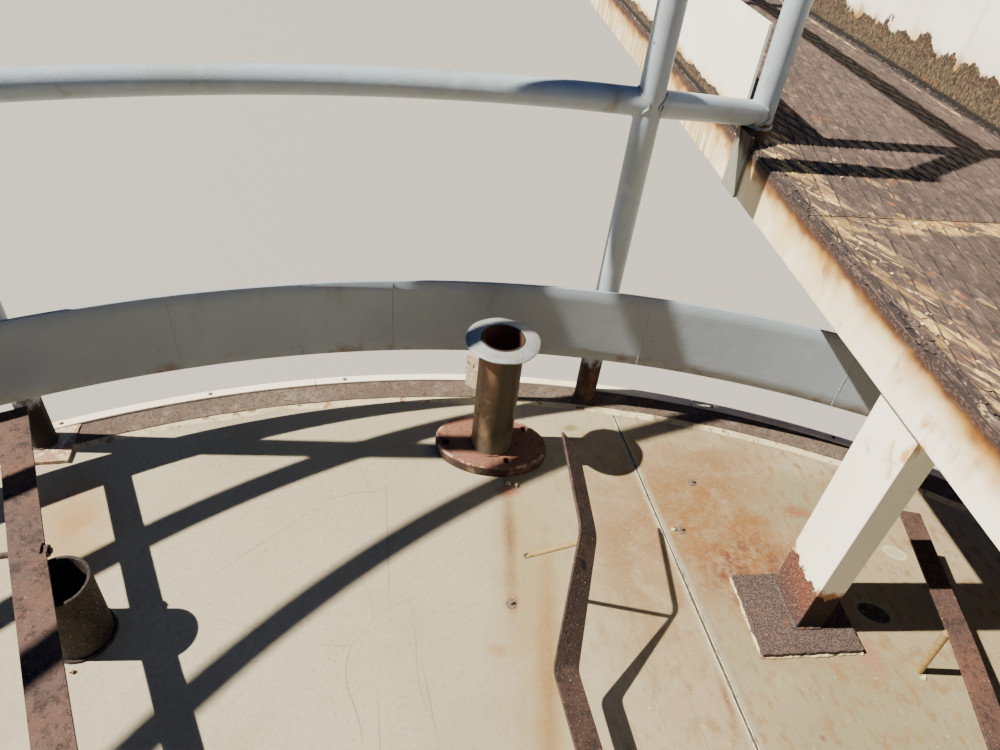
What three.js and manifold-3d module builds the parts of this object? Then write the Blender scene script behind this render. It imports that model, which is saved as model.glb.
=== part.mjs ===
// Vertical storage tank with a flat welded roof, guard rail and raised walkway.
// Millimetres, +Z up. Origin: centre of the bottom plate, on the ground.
// +Y points at the side where the walkway leaves the roof, +X to the right of it.
import * as THREE from 'three';
import { mergeVertices } from 'three/addons/utils/BufferGeometryUtils.js';
import Module from 'manifold-3d';

const wasm = await Module();
wasm.setup();

// Driving dimensions of the tank
const rimRadius = 2031;         // outer edge of the roof rim
const shellRadius = 2006;       // outside of the wall
const shellWall = 8;
const courseHeight = 1500;      // three courses of plate
const courses = ['lower', 'middle', 'upper'];
const firstSeam = 20;           // degrees, upright seam of the lowest course
const seamStep = 60;            // degrees from one course's seams to the next
const bottomThickness = 8;
const bottomOverhang = 45;
const roofThickness = 6;
const roofInset = 5;            // roof sheets stop this far inside the rim's edge
const seat = 0.3;               // gap between touching pieces

const shellBase = bottomThickness + seat;
const shellTop = shellBase + courses.length * courseHeight;
const roofTop = shellTop + seat + roofThickness;

// Three roof sheets, butted along straight seams that run nearly front to back
const roofSeamAngle = 14.8;     // degrees
const roofSeams = [-955, 545];

// Rim: a flat curb ring with a narrow strip on its outer edge
const curbWidth = 74;
const curbThickness = 5;
const curbInset = 2;
const stripWidth = 20;
const stripThickness = 5;
const curbTop = roofTop + seat + curbThickness;

// Guard rail around the roof
const railPipe = 24.15;         // radius of the 48.3 mm pipe
const lap = 10;                 // how far a notched pipe end stops short of the other's axis
const guardRadius = 1986;       // circle through the posts
const midRailHeight = 693;      // above the roof
const topRailHeight = 1200;
const topRailOverrun = 0.8;     // degrees, past the outer posts
const firstPost = 90.5;         // degrees, beside the walkway
const lastPost = 412.5;         // degrees, on the other side of it
const firstBay = 33.3;          // degrees
const bays = 10;
const toeBottom = 141;
const toeTop = 316;
const toeThickness = 6;
const toeStarts = [112.8, 232.8, 352.8];
const toeArc = 120;             // degrees

// Walkway: lies along "along", its width along "across"
const walkAngle = 9.9;          // degrees
const walkLeft = 570;           // web face of the left stringer, from the tank axis
const walkRight = 1225;
const walkStart = -1500;
const walkEnd = 3600;
const stringerBottom = 492;     // above the roof
const deckTop = 593;
const deckThickness = 6;
const deckJoints = [60, 1760];
const deckGap = 1.5;            // open joint between two sheets
const bearer = { depth: 46, width: 50, inset: 120 };
const channelWall = 6;
const channelFlange = 48;
const legDepth = 100;
const legInset = 18;
const legStations = [1396, -1340];
const legPlate = { width: 184, depth: 158, thickness: 12, outward: 8, backward: 16 };
const walkToeHeight = { left: 207, right: 300 };
const walkRailHeights = [1140, 1690];
const walkPost = 3300;          // station of the post beyond the gate
const railEndInset = 30;

// Gate frame: closes the gap between the guard rail and the walkway
const gateStation = { left: 2090, right: 1390 };
const gateInset = 30.5;         // post axis inside the stringer's web face
const gatePipes = [[midRailHeight, 641], [topRailHeight, walkRailHeights[0]]];
const gateFoot = { near: -24, far: 4, height: 24 };
const gateStrap = { near: -66, far: 4, thickness: 7 };
const walkToeGap = 20;         // from the gate post's axis to the toe plate's end

// Roof nozzle with an oval foot flange and a flared collar
const nozzle = { x: -221, y: 1783, pipe: 42.5, bore: 38, top: 300 };
const nozzleFlange = { long: 118, short: 78, thickness: 24, hole: 8 };
const nozzleBoltHoles = [[-95, -17], [38, -49], [68, 50], [-30, 62]];
const collar = { radius: 71, thickness: 4, drop: 5 };

// Short open pipe on the left of the roof
const stub = { x: -828, y: 1268, radius: 46, wall: 5, height: 145 };

// Bent flat bars left on the roof, each a centre line [x, y, height above the roof]
const barThickness = 5;
const centreBar = {
  width: 31,
  line: [[-89, 1596, 242], [-55, 1414, 218], [-70, 1253, 95], [-36, 1145, 90], [20, 985, 78], [60, 905, 0]],
  rod: { from: [-60, 1402, 214], to: [-142, 1424, 129], radius: 3.2 },
};
const leftBar = {
  width: 48,
  line: [[-1079, 1584, 152], [-879, 1291, 152], [-700, 1040, 152], [-555, 828, 140], [-530, 790, 0]],
  rod: { from: [-985, 1277, 150], to: [-858, 1315, 150], radius: 5 },
};
const rightBar = {
  width: 45,
  line: [[566, 1625, 127], [559, 1470, 127], [555, 1353, 127],
    [544, 1224, 127], [530, 1030, 122], [527, 985, 0]],
  rod: { from: [548, 1388, 2], to: [553, 1352, 130], radius: 5 },
};

// Shell fittings, low on the wall; reach is how far the face stands out from the wall
const manway = { angle: -60, height: 760, radius: 254, wall: 10, reach: 195, flange: 330, thickness: 20 };
const outlet = { angle: -115, height: 320, radius: 57, reach: 170, flange: 110, thickness: 40 };

// Facets
const rimSteps = 128;
const wallSteps = 64;
const toeSteps = 40;
const topRailSteps = 21;
const bayRailSteps = 6;
const pipeSteps = 12;
const boreSteps = 24;
const fittingSteps = 32;
const rodSteps = 8;

const radians = THREE.MathUtils.degToRad;
const degrees = THREE.MathUtils.radToDeg;
const across = new THREE.Vector3(Math.cos(radians(walkAngle)), Math.sin(radians(walkAngle)), 0);
const along = new THREE.Vector3(-Math.sin(radians(walkAngle)), Math.cos(radians(walkAngle)), 0);

const tank = new THREE.Group();
tank.name = 'storage_tank';

const finish = (color, roughness, metalness) =>
  new THREE.MeshStandardMaterial({ color, roughness, metalness });
const shellPaint = finish(0xd9d4c4, 0.6, 0.0);
const roofPaint = finish(0xb8ae98, 0.7, 0.0);
const railPaint = finish(0xb5bab8, 0.45, 0.1);
const toePaint = finish(0x8a8f8c, 0.55, 0.1);
const creamPaint = finish(0xe6e0cf, 0.55, 0.0);
const deckRust = finish(0x6f5a54, 0.9, 0.2);
const rustedSteel = finish(0x6d4438, 0.9, 0.2);
const pipeSteel = finish(0x5f5240, 0.7, 0.4);
const galvanised = finish(0x9aa0a0, 0.45, 0.7);
const curbRust = finish(0x9c8374, 0.85, 0.1);

const polar = (radius, angle, z = 0) =>
  new THREE.Vector3(radius * Math.cos(radians(angle)), radius * Math.sin(radians(angle)), z);
const turnFor = (length, radius) => degrees(length / radius);
const ordered = (a, b) => [Math.min(a, b), Math.max(a, b)];
const aboveRoof = ([x, y, height]) => new THREE.Vector3(x, y, roofTop + height);

// A point on the walkway: across it, along it and above the roof
const onWalk = (offset, station, height) =>
  across.clone().multiplyScalar(offset).addScaledVector(along, station).setZ(roofTop + height);

function add(name, geometry, material) {
  const mesh = new THREE.Mesh(geometry, material);
  mesh.name = name;
  tank.add(mesh);
}

// Joins and cuts
function solid(geometry) {
  const bare = geometry.clone();
  bare.deleteAttribute('normal');
  bare.deleteAttribute('uv');
  const merged = mergeVertices(bare, 1e-4);
  return new wasm.Manifold(new wasm.Mesh({
    numProp: 3,
    vertProperties: new Float32Array(merged.attributes.position.array),
    triVerts: new Uint32Array(merged.index.array),
  }));
}

function geometryOf(body) {
  const mesh = body.getMesh();
  const geometry = new THREE.BufferGeometry();
  geometry.setAttribute('position', new THREE.BufferAttribute(mesh.vertProperties, 3));
  geometry.setIndex(new THREE.BufferAttribute(mesh.triVerts, 1));
  geometry.computeVertexNormals();
  return geometry;
}

const joined = (...shapes) => shapes.map(solid).reduce((sum, next) => sum.add(next));
const cut = (body, ...shapes) => shapes.map(solid).reduce((rest, next) => rest.subtract(next), body);

// Plain shapes, placed where they stand
function arcPlate(inner, outer, z, thickness, start, end, steps) {
  const corner = (radius, k) => polar(radius, start + (end - start) * k / steps);
  const points = [];
  for (let k = 0; k <= steps; k += 1) points.push(corner(outer, k));
  for (let k = steps; k >= 0; k -= 1) points.push(corner(inner, k));
  const shape = new THREE.Shape(points.map((p) => new THREE.Vector2(p.x, p.y)));
  return new THREE.ExtrudeGeometry(shape, { depth: thickness, bevelEnabled: false }).translate(0, 0, z);
}

function lathed(profile, steps) {
  return new THREE.LatheGeometry(profile.map(([r, h]) => new THREE.Vector2(r, h)), steps)
    .rotateX(Math.PI / 2);
}

function ring(inner, outer, z, thickness, steps) {
  const profile = [[inner, 0], [outer, 0], [outer, thickness], [inner, thickness], [inner, 0]];
  return lathed(profile, steps).translate(0, 0, z);
}

function disc(radius, z, thickness, steps) {
  return new THREE.CylinderGeometry(radius, radius, thickness, steps)
    .rotateX(Math.PI / 2).translate(0, 0, z + thickness / 2);
}

function straightPipe(from, to, radius, steps = pipeSteps) {
  const axis = to.clone().sub(from);
  const upright = new THREE.Vector3(0, 1, 0);
  const turn = new THREE.Quaternion().setFromUnitVectors(upright, axis.clone().normalize());
  const middle = from.clone().add(to).multiplyScalar(0.5);
  return new THREE.CylinderGeometry(radius, radius, axis.length(), steps)
    .applyQuaternion(turn).translate(...middle.toArray());
}

// Closes a run of like sections, each a loop of points, into one solid
function lofted(sections) {
  const sides = sections[0].length;
  const index = [];
  for (let i = 1; i < sections.length; i += 1) {
    for (let k = 0; k < sides; k += 1) {
      const a = (i - 1) * sides + k;
      const b = (i - 1) * sides + (k + 1) % sides;
      index.push(a, a + sides, b, b, a + sides, b + sides);
    }
  }
  const last = (sections.length - 1) * sides;
  for (let k = 1; k < sides - 1; k += 1) {
    index.push(0, k, k + 1);
    index.push(last, last + k + 1, last + k);
  }
  const geometry = new THREE.BufferGeometry().setFromPoints(sections.flat());
  geometry.setIndex(index);
  return geometry;
}

// A pipe bent to a level arc about the tank axis
function arcPipe(circle, z, radius, start, end, steps) {
  const sections = [];
  for (let i = 0; i <= steps; i += 1) {
    const section = [];
    for (let k = 0; k < pipeSteps; k += 1) {
      const turn = 2 * Math.PI * k / pipeSteps;
      const angle = start + (end - start) * i / steps;
      section.push(polar(circle + radius * Math.cos(turn), angle, z + radius * Math.sin(turn)));
    }
    sections.push(section);
  }
  return lofted(sections);
}

// A box in the walkway's own directions, each given as its two ends
function walkBox(offsets, stations, heights) {
  const [offset, station, height] = [offsets, stations, heights].map(([a, b]) => (a + b) / 2);
  const [width, length, depth] = [offsets, stations, heights].map(([a, b]) => Math.abs(b - a));
  return new THREE.BoxGeometry(width, length, depth)
    .rotateZ(radians(walkAngle)).translate(...onWalk(offset, station, height).toArray());
}

// A flat bar bent over its broad face, and cut square where its foot stands on the roof
function bentBar({ width, line }) {
  const points = line.map(aboveRoof);
  const heading = points.at(-1).clone().sub(points[0]).setZ(0).normalize();
  const side = new THREE.Vector3(-heading.y, heading.x, 0).multiplyScalar(width / 2);
  const sections = points.map((point, i) => {
    const before = points[Math.max(i - 1, 0)];
    const after = points[Math.min(i + 1, points.length - 1)];
    const run = after.clone().sub(before).normalize();
    const broad = run.cross(side).normalize().multiplyScalar(barThickness);
    const rise = i === points.length - 1 ? heading.clone().multiplyScalar(barThickness) : broad;
    const edge = [point.clone().add(side), point.clone().sub(side)];
    return [edge[0], edge[1], edge[1].clone().add(rise), edge[0].clone().add(rise)];
  });
  return lofted(sections).translate(0, 0, seat);
}

function buildBottom() {
  add('bottom_plate', disc(shellRadius + bottomOverhang, 0, bottomThickness, wallSteps), shellPaint);
}

// Each course is two half-round plates; the upright seams step round from course to course
function buildShell() {
  courses.forEach((name, course) => {
    const gap = course === courses.length - 1 ? 0 : seat;
    for (const half of [0, 1]) {
      const start = firstSeam + course * seamStep + half * 180;
      const end = start + 180 - turnFor(seat, shellRadius);
      const plate = arcPlate(shellRadius - shellWall, shellRadius, shellBase + course * courseHeight,
        courseHeight - gap, start, end, wallSteps / 2);
      add(`shell_${name}_${half + 1}`, plate, shellPaint);
    }
  });
}

function buildRoof() {
  const whole = solid(disc(rimRadius - roofInset, roofTop - roofThickness, roofThickness, rimSteps));
  const side = 4 * rimRadius;
  const strip = (low, high) => new THREE.BoxGeometry(high - low, side, side)
    .translate((low + high) / 2, 0, roofTop).rotateZ(radians(roofSeamAngle));
  const edges = [-rimRadius, ...roofSeams, rimRadius];
  const bore = (radius, { x, y }) => disc(radius, roofTop - 2 * roofThickness, 3 * roofThickness, boreSteps)
    .translate(x, y, 0);
  const bores = [bore(nozzle.bore, nozzle), bore(stub.radius - stub.wall, stub)];
  ['left', 'middle', 'right'].forEach((name, i) => {
    const sheet = whole.intersect(solid(strip(edges[i] + seat / 2, edges[i + 1] - seat / 2)));
    add(`roof_sheet_${name}`, geometryOf(cut(sheet, ...bores)), roofPaint);
  });
}

function buildRim() {
  const curb = ring(rimRadius - curbWidth, rimRadius - curbInset, roofTop + seat, curbThickness, rimSteps);
  add('rim_curb', curb, curbRust);
  const strip = ring(rimRadius - stripWidth, rimRadius, curbTop + seat, stripThickness, rimSteps);
  add('rim_strip', strip, creamPaint);
}

function buildToePlate() {
  const outer = guardRadius - railPipe - seat / 2;
  toeStarts.forEach((start, i) => {
    const plate = arcPlate(outer - toeThickness, outer, roofTop + toeBottom, toeTop - toeBottom,
      start, start + toeArc - turnFor(seat, outer), toeSteps);
    add(`toe_plate_${i + 1}`, plate, toePaint);
  });
}

const postAngles = [firstPost, firstPost + firstBay];
for (let k = 2; k <= bays; k += 1) {
  postAngles.push(postAngles[1] + (lastPost - postAngles[1]) * (k - 1) / (bays - 1));
}

// Upright pipe on the guard circle, with one of its corners towards the tank's axis
function uprightPipe(angle, low, high, radius) {
  return straightPipe(new THREE.Vector3(guardRadius, 0, low), new THREE.Vector3(guardRadius, 0, high), radius)
    .rotateZ(radians(angle));
}

const postPipe = (angle) => uprightPipe(angle, curbTop + seat, roofTop + topRailHeight - lap, railPipe);

// The top rail in three lengths that meet over posts and run a little past the outer ones.
// Its neighbours are cut with the same lengths grown by the seat
function topRailLengths(grown) {
  const gap = turnFor(seat, guardRadius);
  const radius = railPipe + (grown ? seat : 0);
  const ends = [postAngles[0] - topRailOverrun, postAngles[3], postAngles[7],
    postAngles[bays] + topRailOverrun];
  return ends.slice(0, -1).map((start, i) => {
    const isLast = i === ends.length - 2;
    const first = grown ? start - gap : start;
    const last = ends[i + 1] + (grown ? gap : 0) - (grown || isLast ? 0 : gap);
    return arcPipe(guardRadius, roofTop + topRailHeight, radius, first, last, topRailSteps);
  });
}

// Each bay is a post and the mid rail that runs from it to the next post
function buildGuardRail() {
  const saddles = topRailLengths(true);
  const clearance = (angle) => uprightPipe(angle, curbTop, roofTop + topRailHeight, railPipe + seat);
  for (let k = 0; k < bays; k += 1) {
    const end = postAngles[k + 1] - turnFor(lap, guardRadius);
    const rail = arcPipe(guardRadius, roofTop + midRailHeight, railPipe, postAngles[k], end, bayRailSteps);
    const body = cut(joined(postPipe(postAngles[k]), rail), ...saddles, clearance(postAngles[k + 1]));
    add(`guard_bay_${k + 1}`, geometryOf(body), railPaint);
  }
  add('guard_post_last', geometryOf(cut(solid(postPipe(lastPost)), ...saddles)), railPaint);
  topRailLengths(false).forEach((rail, i) => {
    add(`top_rail_${i + 1}`, rail, railPaint);
  });
}

function buildNozzle() {
  const at = (geometry) => geometry.translate(nozzle.x, nozzle.y, 0);
  const { long, short, thickness, hole } = nozzleFlange;
  const below = roofTop - roofThickness;
  const depth = 2 * thickness;
  const oval = disc(1, roofTop + seat, thickness, 36).scale(long, short, 1);
  const holes = nozzleBoltHoles.map(([x, y]) => disc(hole, below, depth, pipeSteps).translate(x, y, 0));
  const through = disc(nozzle.pipe + seat, below, depth, boreSteps);
  add('nozzle_flange', at(geometryOf(cut(solid(oval), through, ...holes))), rustedSteel);
  const pipe = ring(nozzle.bore, nozzle.pipe, roofTop + seat, nozzle.top - seat, boreSteps);
  add('nozzle_pipe', at(pipe), pipeSteel);
  const inner = nozzle.pipe + seat;
  const profile = [[inner, -collar.thickness], [collar.radius, -collar.thickness - collar.drop],
    [collar.radius, -collar.drop], [inner, 0], [inner, -collar.thickness]];
  add('nozzle_collar', at(lathed(profile, 36).translate(0, 0, roofTop + nozzle.top)), galvanised);
}

function buildStub() {
  const pipe = ring(stub.radius - stub.wall, stub.radius, roofTop + seat, stub.height, boreSteps);
  add('stub_pipe', pipe.translate(stub.x, stub.y, 0), rustedSteel);
}

function buildBars() {
  for (const [name, bar] of [['centre', centreBar], ['left', leftBar], ['right', rightBar]]) {
    const rod = straightPipe(aboveRoof(bar.rod.from), aboveRoof(bar.rod.to), bar.rod.radius, rodSteps);
    add(`flat_bar_${name}`, geometryOf(joined(bentBar(bar), rod)), rustedSteel);
  }
}

// The walkway's two sides: the web's outer face, and which way is inwards
const walkSides = [
  { name: 'left', face: walkLeft, inward: 1, guardAngle: firstPost },
  { name: 'right', face: walkRight, inward: -1, guardAngle: lastPost },
];

// A channel with its back on the given face and its flanges turned inwards
function buildStringer({ name, face, inward }) {
  const top = deckTop - deckThickness - seat;
  const length = [walkStart, walkEnd];
  const flange = ordered(face, face + inward * channelFlange);
  const web = walkBox(ordered(face, face + inward * channelWall), length, [stringerBottom, top]);
  const low = walkBox(flange, length, [stringerBottom, stringerBottom + channelWall]);
  const high = walkBox(flange, length, [top - channelWall, top]);
  add(`walkway_stringer_${name}`, geometryOf(joined(web, low, high)), creamPaint);
}

// Deck sheets, each with a bearer under both ends
function buildDeck() {
  const ends = [walkStart, ...deckJoints, walkEnd];
  const bottom = deckTop - deckThickness;
  const between = [walkLeft + channelFlange + seat, walkRight - channelFlange - seat];
  for (let k = 1; k < ends.length; k += 1) {
    const sheet = walkBox([walkLeft, walkRight], [ends[k - 1], ends[k] - deckGap], [bottom, deckTop]);
    const bearers = [ends[k - 1] + bearer.inset, ends[k] - bearer.inset].map((station) =>
      walkBox(between, [station - bearer.width / 2, station + bearer.width / 2],
        [bottom - bearer.depth, bottom + deckThickness / 2]));
    add(`walkway_deck_${k}`, geometryOf(joined(sheet, ...bearers)), deckRust);
  }
}

// A channel leg standing on its base plate
function buildLeg({ name, face, inward }, station, number) {
  const outside = face + inward * legInset;
  const near = station - legDepth / 2;
  const far = station + legDepth / 2;
  const floor = legPlate.thickness + seat;
  const heights = [floor - legPlate.thickness / 2, stringerBottom - seat];
  const flange = ordered(outside, outside + inward * channelFlange);
  const web = walkBox(ordered(outside, outside + inward * channelWall), [near, far], heights);
  const front = walkBox(flange, [near, near + channelWall], heights);
  const back = walkBox(flange, [far - channelWall, far], heights);
  const middle = outside + inward * (channelFlange / 2 - legPlate.outward);
  const centre = station - legPlate.backward;
  const plate = walkBox([middle - legPlate.width / 2, middle + legPlate.width / 2],
    [centre - legPlate.depth / 2, centre + legPlate.depth / 2], [seat, floor]);
  add(`walkway_leg_${name}_${number}`, geometryOf(joined(web, front, back, plate)), creamPaint);
}

function buildWalkToe({ name, face, inward }) {
  const plate = walkBox(ordered(face, face + inward * toeThickness),
    [gateStation[name] + walkToeGap, walkEnd], [deckTop + seat, deckTop + walkToeHeight[name]]);
  add(`walkway_toe_${name}`, plate, creamPaint);
}

const railTop = walkRailHeights[1];

function deckPost(offset, station) {
  return straightPipe(onWalk(offset, station, deckTop + seat), onWalk(offset, station, railTop), railPipe);
}

// The two pipes that run from the guard rail's end post to the gate post
function gatePipesOf({ name, face, inward, guardAngle }, radius) {
  return gatePipes.map(([guardHeight, height]) => straightPipe(
    polar(guardRadius, guardAngle, roofTop + guardHeight),
    onWalk(face + inward * gateInset, gateStation[name], height), radius));
}

// The gate post stands on the deck's edge, held by a strap on the stringer's web
function buildGate(side) {
  const { name, face, inward, guardAngle } = side;
  const offset = face + inward * gateInset;
  const station = gateStation[name];
  const guard = (height) => polar(guardRadius, guardAngle, roofTop + height);
  const outside = face - inward * (seat + gateStrap.thickness);
  const foot = walkBox(ordered(outside, offset), [station + gateFoot.near, station + gateFoot.far],
    [deckTop + seat, deckTop + gateFoot.height]);
  const strap = walkBox(ordered(outside, face - inward * seat),
    [station + gateStrap.near, station + gateStrap.far], [stringerBottom, deckTop + gateFoot.height]);
  const guardPost = straightPipe(guard(0), guard(topRailHeight + 2 * railPipe),
    railPipe + 2 * seat, 2 * pipeSteps);
  const bayRail = arcPipe(guardRadius, roofTop + midRailHeight, railPipe + seat,
    ...ordered(guardAngle, guardAngle + inward * firstBay / bayRailSteps), 1);
  const rail = straightPipe(onWalk(offset, station - 2 * railPipe, railTop),
    onWalk(offset, station + 2 * railPipe, railTop), railPipe + seat);
  const whole = joined(deckPost(offset, station), ...gatePipesOf(side, railPipe), foot, strap);
  const body = cut(whole, guardPost, bayRail, ...topRailLengths(true), rail);
  add(`gate_frame_${name}`, geometryOf(body), railPaint);
}

// The walkway's rails beyond the gate post, with a post of their own near the end
function buildWalkRail(side) {
  const { name, face, inward } = side;
  const offset = face + inward * gateInset;
  const station = gateStation[name];
  const pipes = walkRailHeights.map((height) => straightPipe(
    onWalk(offset, station - railPipe, height), onWalk(offset, walkEnd - railEndInset, height), railPipe));
  const gatePost = straightPipe(onWalk(offset, station, deckTop),
    onWalk(offset, station, railTop - railPipe - 1), railPipe + seat);
  const whole = joined(...pipes, deckPost(offset, walkPost));
  const body = cut(whole, gatePost, ...gatePipesOf(side, railPipe + seat));
  add(`walkway_rail_${name}`, geometryOf(body), railPaint);
}

function buildWalkway() {
  buildDeck();
  for (const side of walkSides) {
    buildStringer(side);
    legStations.forEach((station, i) => buildLeg(side, station, i + 1));
    buildWalkToe(side);
    buildGate(side);
    buildWalkRail(side);
  }
}

// A level pipe standing out from the wall, with a flange on its end, cut to the wall's curve
function wallFitting({ angle, height, radius, reach, flange, thickness }, bore) {
  const point = (distance) => polar(shellRadius + distance, angle, height);
  const buried = radius / 4;
  const neck = straightPipe(point(-buried), point(reach - thickness / 2), radius, fittingSteps);
  const plate = straightPipe(point(reach - thickness), point(reach), flange, fittingSteps);
  const wall = disc(shellRadius + seat, 0, shellTop, 4 * wallSteps);
  const body = cut(joined(neck, plate), wall);
  return bore ? cut(body, straightPipe(point(-2 * buried), point(2 * reach), bore, fittingSteps)) : body;
}

function buildWallFittings() {
  add('manway_neck', geometryOf(wallFitting(manway, manway.radius - manway.wall)), shellPaint);
  const face = shellRadius + manway.reach + seat;
  const cover = straightPipe(polar(face, manway.angle, manway.height),
    polar(face + manway.thickness, manway.angle, manway.height), manway.flange, fittingSteps);
  add('manway_cover', cover, shellPaint);
  add('outlet_nozzle', geometryOf(wallFitting(outlet, 0)), shellPaint);
}

buildBottom();
buildShell();
buildRoof();
buildRim();
buildToePlate();
buildGuardRail();
buildNozzle();
buildStub();
buildBars();
buildWalkway();
buildWallFittings();

export default tank;
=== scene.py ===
import math

import bmesh
import bpy
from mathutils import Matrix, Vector, noise


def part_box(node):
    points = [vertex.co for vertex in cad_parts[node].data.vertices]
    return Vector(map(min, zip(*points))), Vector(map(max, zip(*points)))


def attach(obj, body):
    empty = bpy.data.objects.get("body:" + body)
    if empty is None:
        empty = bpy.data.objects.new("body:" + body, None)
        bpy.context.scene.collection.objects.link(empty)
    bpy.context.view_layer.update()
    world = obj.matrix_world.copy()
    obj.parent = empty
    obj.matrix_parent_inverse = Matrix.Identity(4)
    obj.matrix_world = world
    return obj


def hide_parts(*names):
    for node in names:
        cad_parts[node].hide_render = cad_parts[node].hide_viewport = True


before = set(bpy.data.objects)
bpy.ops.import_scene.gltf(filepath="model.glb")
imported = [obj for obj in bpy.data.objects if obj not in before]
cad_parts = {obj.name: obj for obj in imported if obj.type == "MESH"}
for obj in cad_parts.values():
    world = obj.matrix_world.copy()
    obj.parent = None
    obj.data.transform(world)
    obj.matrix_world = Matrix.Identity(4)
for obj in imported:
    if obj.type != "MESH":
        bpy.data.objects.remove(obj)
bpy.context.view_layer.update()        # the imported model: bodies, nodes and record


# Points
def polar(radius, angle, z=0.0):
    turn = math.radians(angle)
    return Vector((radius * math.cos(turn), radius * math.sin(turn), z))


# Upright steel storage tank: the dressed model, in metres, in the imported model's own frame
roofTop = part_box("roof_sheet_middle")[1].z
deckHeight = 0.593       # of the walkway's floor above the roof
deckTop = roofTop + deckHeight
walkTurn = 9.9           # of the walkway in plan, in degrees
acrossWalk = polar(1, walkTurn)
alongWalk = polar(1, walkTurn + 90)
upwards = Vector((0, 0, 1))
pipe = 0.02415           # radius of all rail pipes
clear = 0.0003           # air left between pieces that touch
hair = 0.0001            # a point this close to a face lies on it
camera = {
    "place": (-0.2191, 0.6985, 5.6246),
    "turn": (50.057, -5.321, 4.441),
    "lens": 25.956,
    "sensor": 36.0,
    "nearest": 0.05,
    "farthest": 200,
}


def putIn(name, data):
    made = bpy.data.objects.new(name, data)
    bpy.context.collection.objects.link(made)
    return made


def setCamera():
    data = bpy.data.cameras.new("camera")
    data.lens = camera["lens"]
    data.sensor_width = camera["sensor"]
    data.clip_start = camera["nearest"]
    data.clip_end = camera["farthest"]
    made = putIn("camera", data)
    made.location = camera["place"]
    made.rotation_euler = [math.radians(a) for a in camera["turn"]]
    bpy.context.scene.camera = made


setCamera()
print("camera set")


def onWalk(offset, station, height):
    return acrossWalk * offset + alongWalk * station + upwards * (roofTop + height)


def straightPath(start, end, steps):
    return [start + (end - start) * k / steps for k in range(steps + 1)]


def arcPath(radius, z, start, end, steps):
    return [polar(radius, start + (end - start) * k / steps, z) for k in range(steps + 1)]


def ringPath(centre, radius, steps):
    return [centre + polar(radius, 360 * k / steps) for k in range(steps)]


def headingAt(path, i):
    return (path[min(i + 1, len(path) - 1)] - path[max(i - 1, 0)]).normalized()


def roundedPath(points, reach, steps=4):
    # each inner corner becomes a short curve that starts "reach" before it
    path = [points[0]]
    for before, corner, after in zip(points, points[1:], points[2:]):
        room = min(reach, (corner - before).length / 2.2, (after - corner).length / 2.2)
        first = corner + (before - corner).normalized() * room
        last = corner + (after - corner).normalized() * room
        for k in range(steps + 1):
            t = k / steps
            path.append(first * (1 - t) ** 2 + corner * 2 * t * (1 - t) + last * t ** 2)
    return path + [points[-1]]


def circleSection(radius, sides):
    return [(p.x, p.y) for p in ringPath(Vector((0, 0, 0)), radius, sides)]


def ripple(point, size, seed=0.0):
    # smooth noise between -1 and 1, one wave about "size" long
    return noise.noise(point / size + Vector((seed, seed * 1.7, seed * 2.3)))


# Shapes, each added to a mesh in the making
def addSkin(shape, rows, closed=False):
    # faces between neighbouring rows of points, and a cap on each open end
    for a, b in zip(rows, rows[1:] + rows[:1] if closed else rows[1:]):
        for k in range(len(a)):
            j = (k + 1) % len(a)
            shape.faces.new((a[k], a[j], b[j], b[k]))
    if not closed:
        shape.faces.new(list(reversed(rows[0])))
        shape.faces.new(rows[-1])


def addSweep(shape, path, section, up=upwards):
    rows = []
    for i, point in enumerate(path):
        run = headingAt(path, i)
        side = run.cross(up).normalized()
        rise = side.cross(run)
        rows.append([shape.verts.new(point + side * u + rise * v) for u, v in section])
    addSkin(shape, rows)
    return rows


def spoke(axis, turn):
    # the direction at right angles to an axis, after so many radians round it
    side = axis.orthogonal().normalized()
    return side * math.cos(turn) + axis.cross(side) * math.sin(turn)


def addTurned(shape, profile, centre, steps, axis=upwards):
    # a closed profile of (radius, height) turned once round the axis through the centre
    rows = []
    for k in range(steps):
        out = spoke(axis, 2 * math.pi * k / steps)
        rows.append([shape.verts.new(centre + out * r + axis * h) for r, h in profile])
    addSkin(shape, rows, closed=True)


def addDisc(shape, centre, radius, thickness, steps, axis, soften):
    # a solid round plate that stands on its centre point
    levels = [(radius - soften, 0), (radius, soften), (radius, thickness - soften),
              (radius - soften, thickness)]
    outs = [spoke(axis, 2 * math.pi * k / steps) for k in range(steps)]
    rows = [[shape.verts.new(centre + axis * h + out * r) for out in outs] for r, h in levels]
    addSkin(shape, rows)


def addSlab(shape, offsets, stations, heights, cell=None, roughen=None):
    # a box in the walkway's directions; "cell" cuts its faces up, "roughen" moves each point
    low = Vector((min(offsets), min(stations), min(heights)))
    high = Vector((max(offsets), max(stations), max(heights)))
    size = high - low
    counts = [max(1, round(size[i] / cell)) if cell else 1 for i in range(3)]
    made = {}

    def corner(i, j, k):
        if (i, j, k) not in made:
            place = Vector([low[n] + size[n] * (i, j, k)[n] / counts[n] for n in range(3)])
            if roughen:
                place = roughen(place, low, high)
            made[(i, j, k)] = shape.verts.new(onWalk(*place))
        return made[(i, j, k)]

    for axis in range(3):
        a, b = [n for n in range(3) if n != axis]
        for end in (0, counts[axis]):
            for i in range(counts[a]):
                for j in range(counts[b]):
                    quad = []
                    for di, dj in ((0, 0), (1, 0), (1, 1), (0, 1)):
                        index = [0, 0, 0]
                        index[axis], index[a], index[b] = end, i + di, j + dj
                        quad.append(corner(*index))
                    shape.faces.new(quad)


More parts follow.
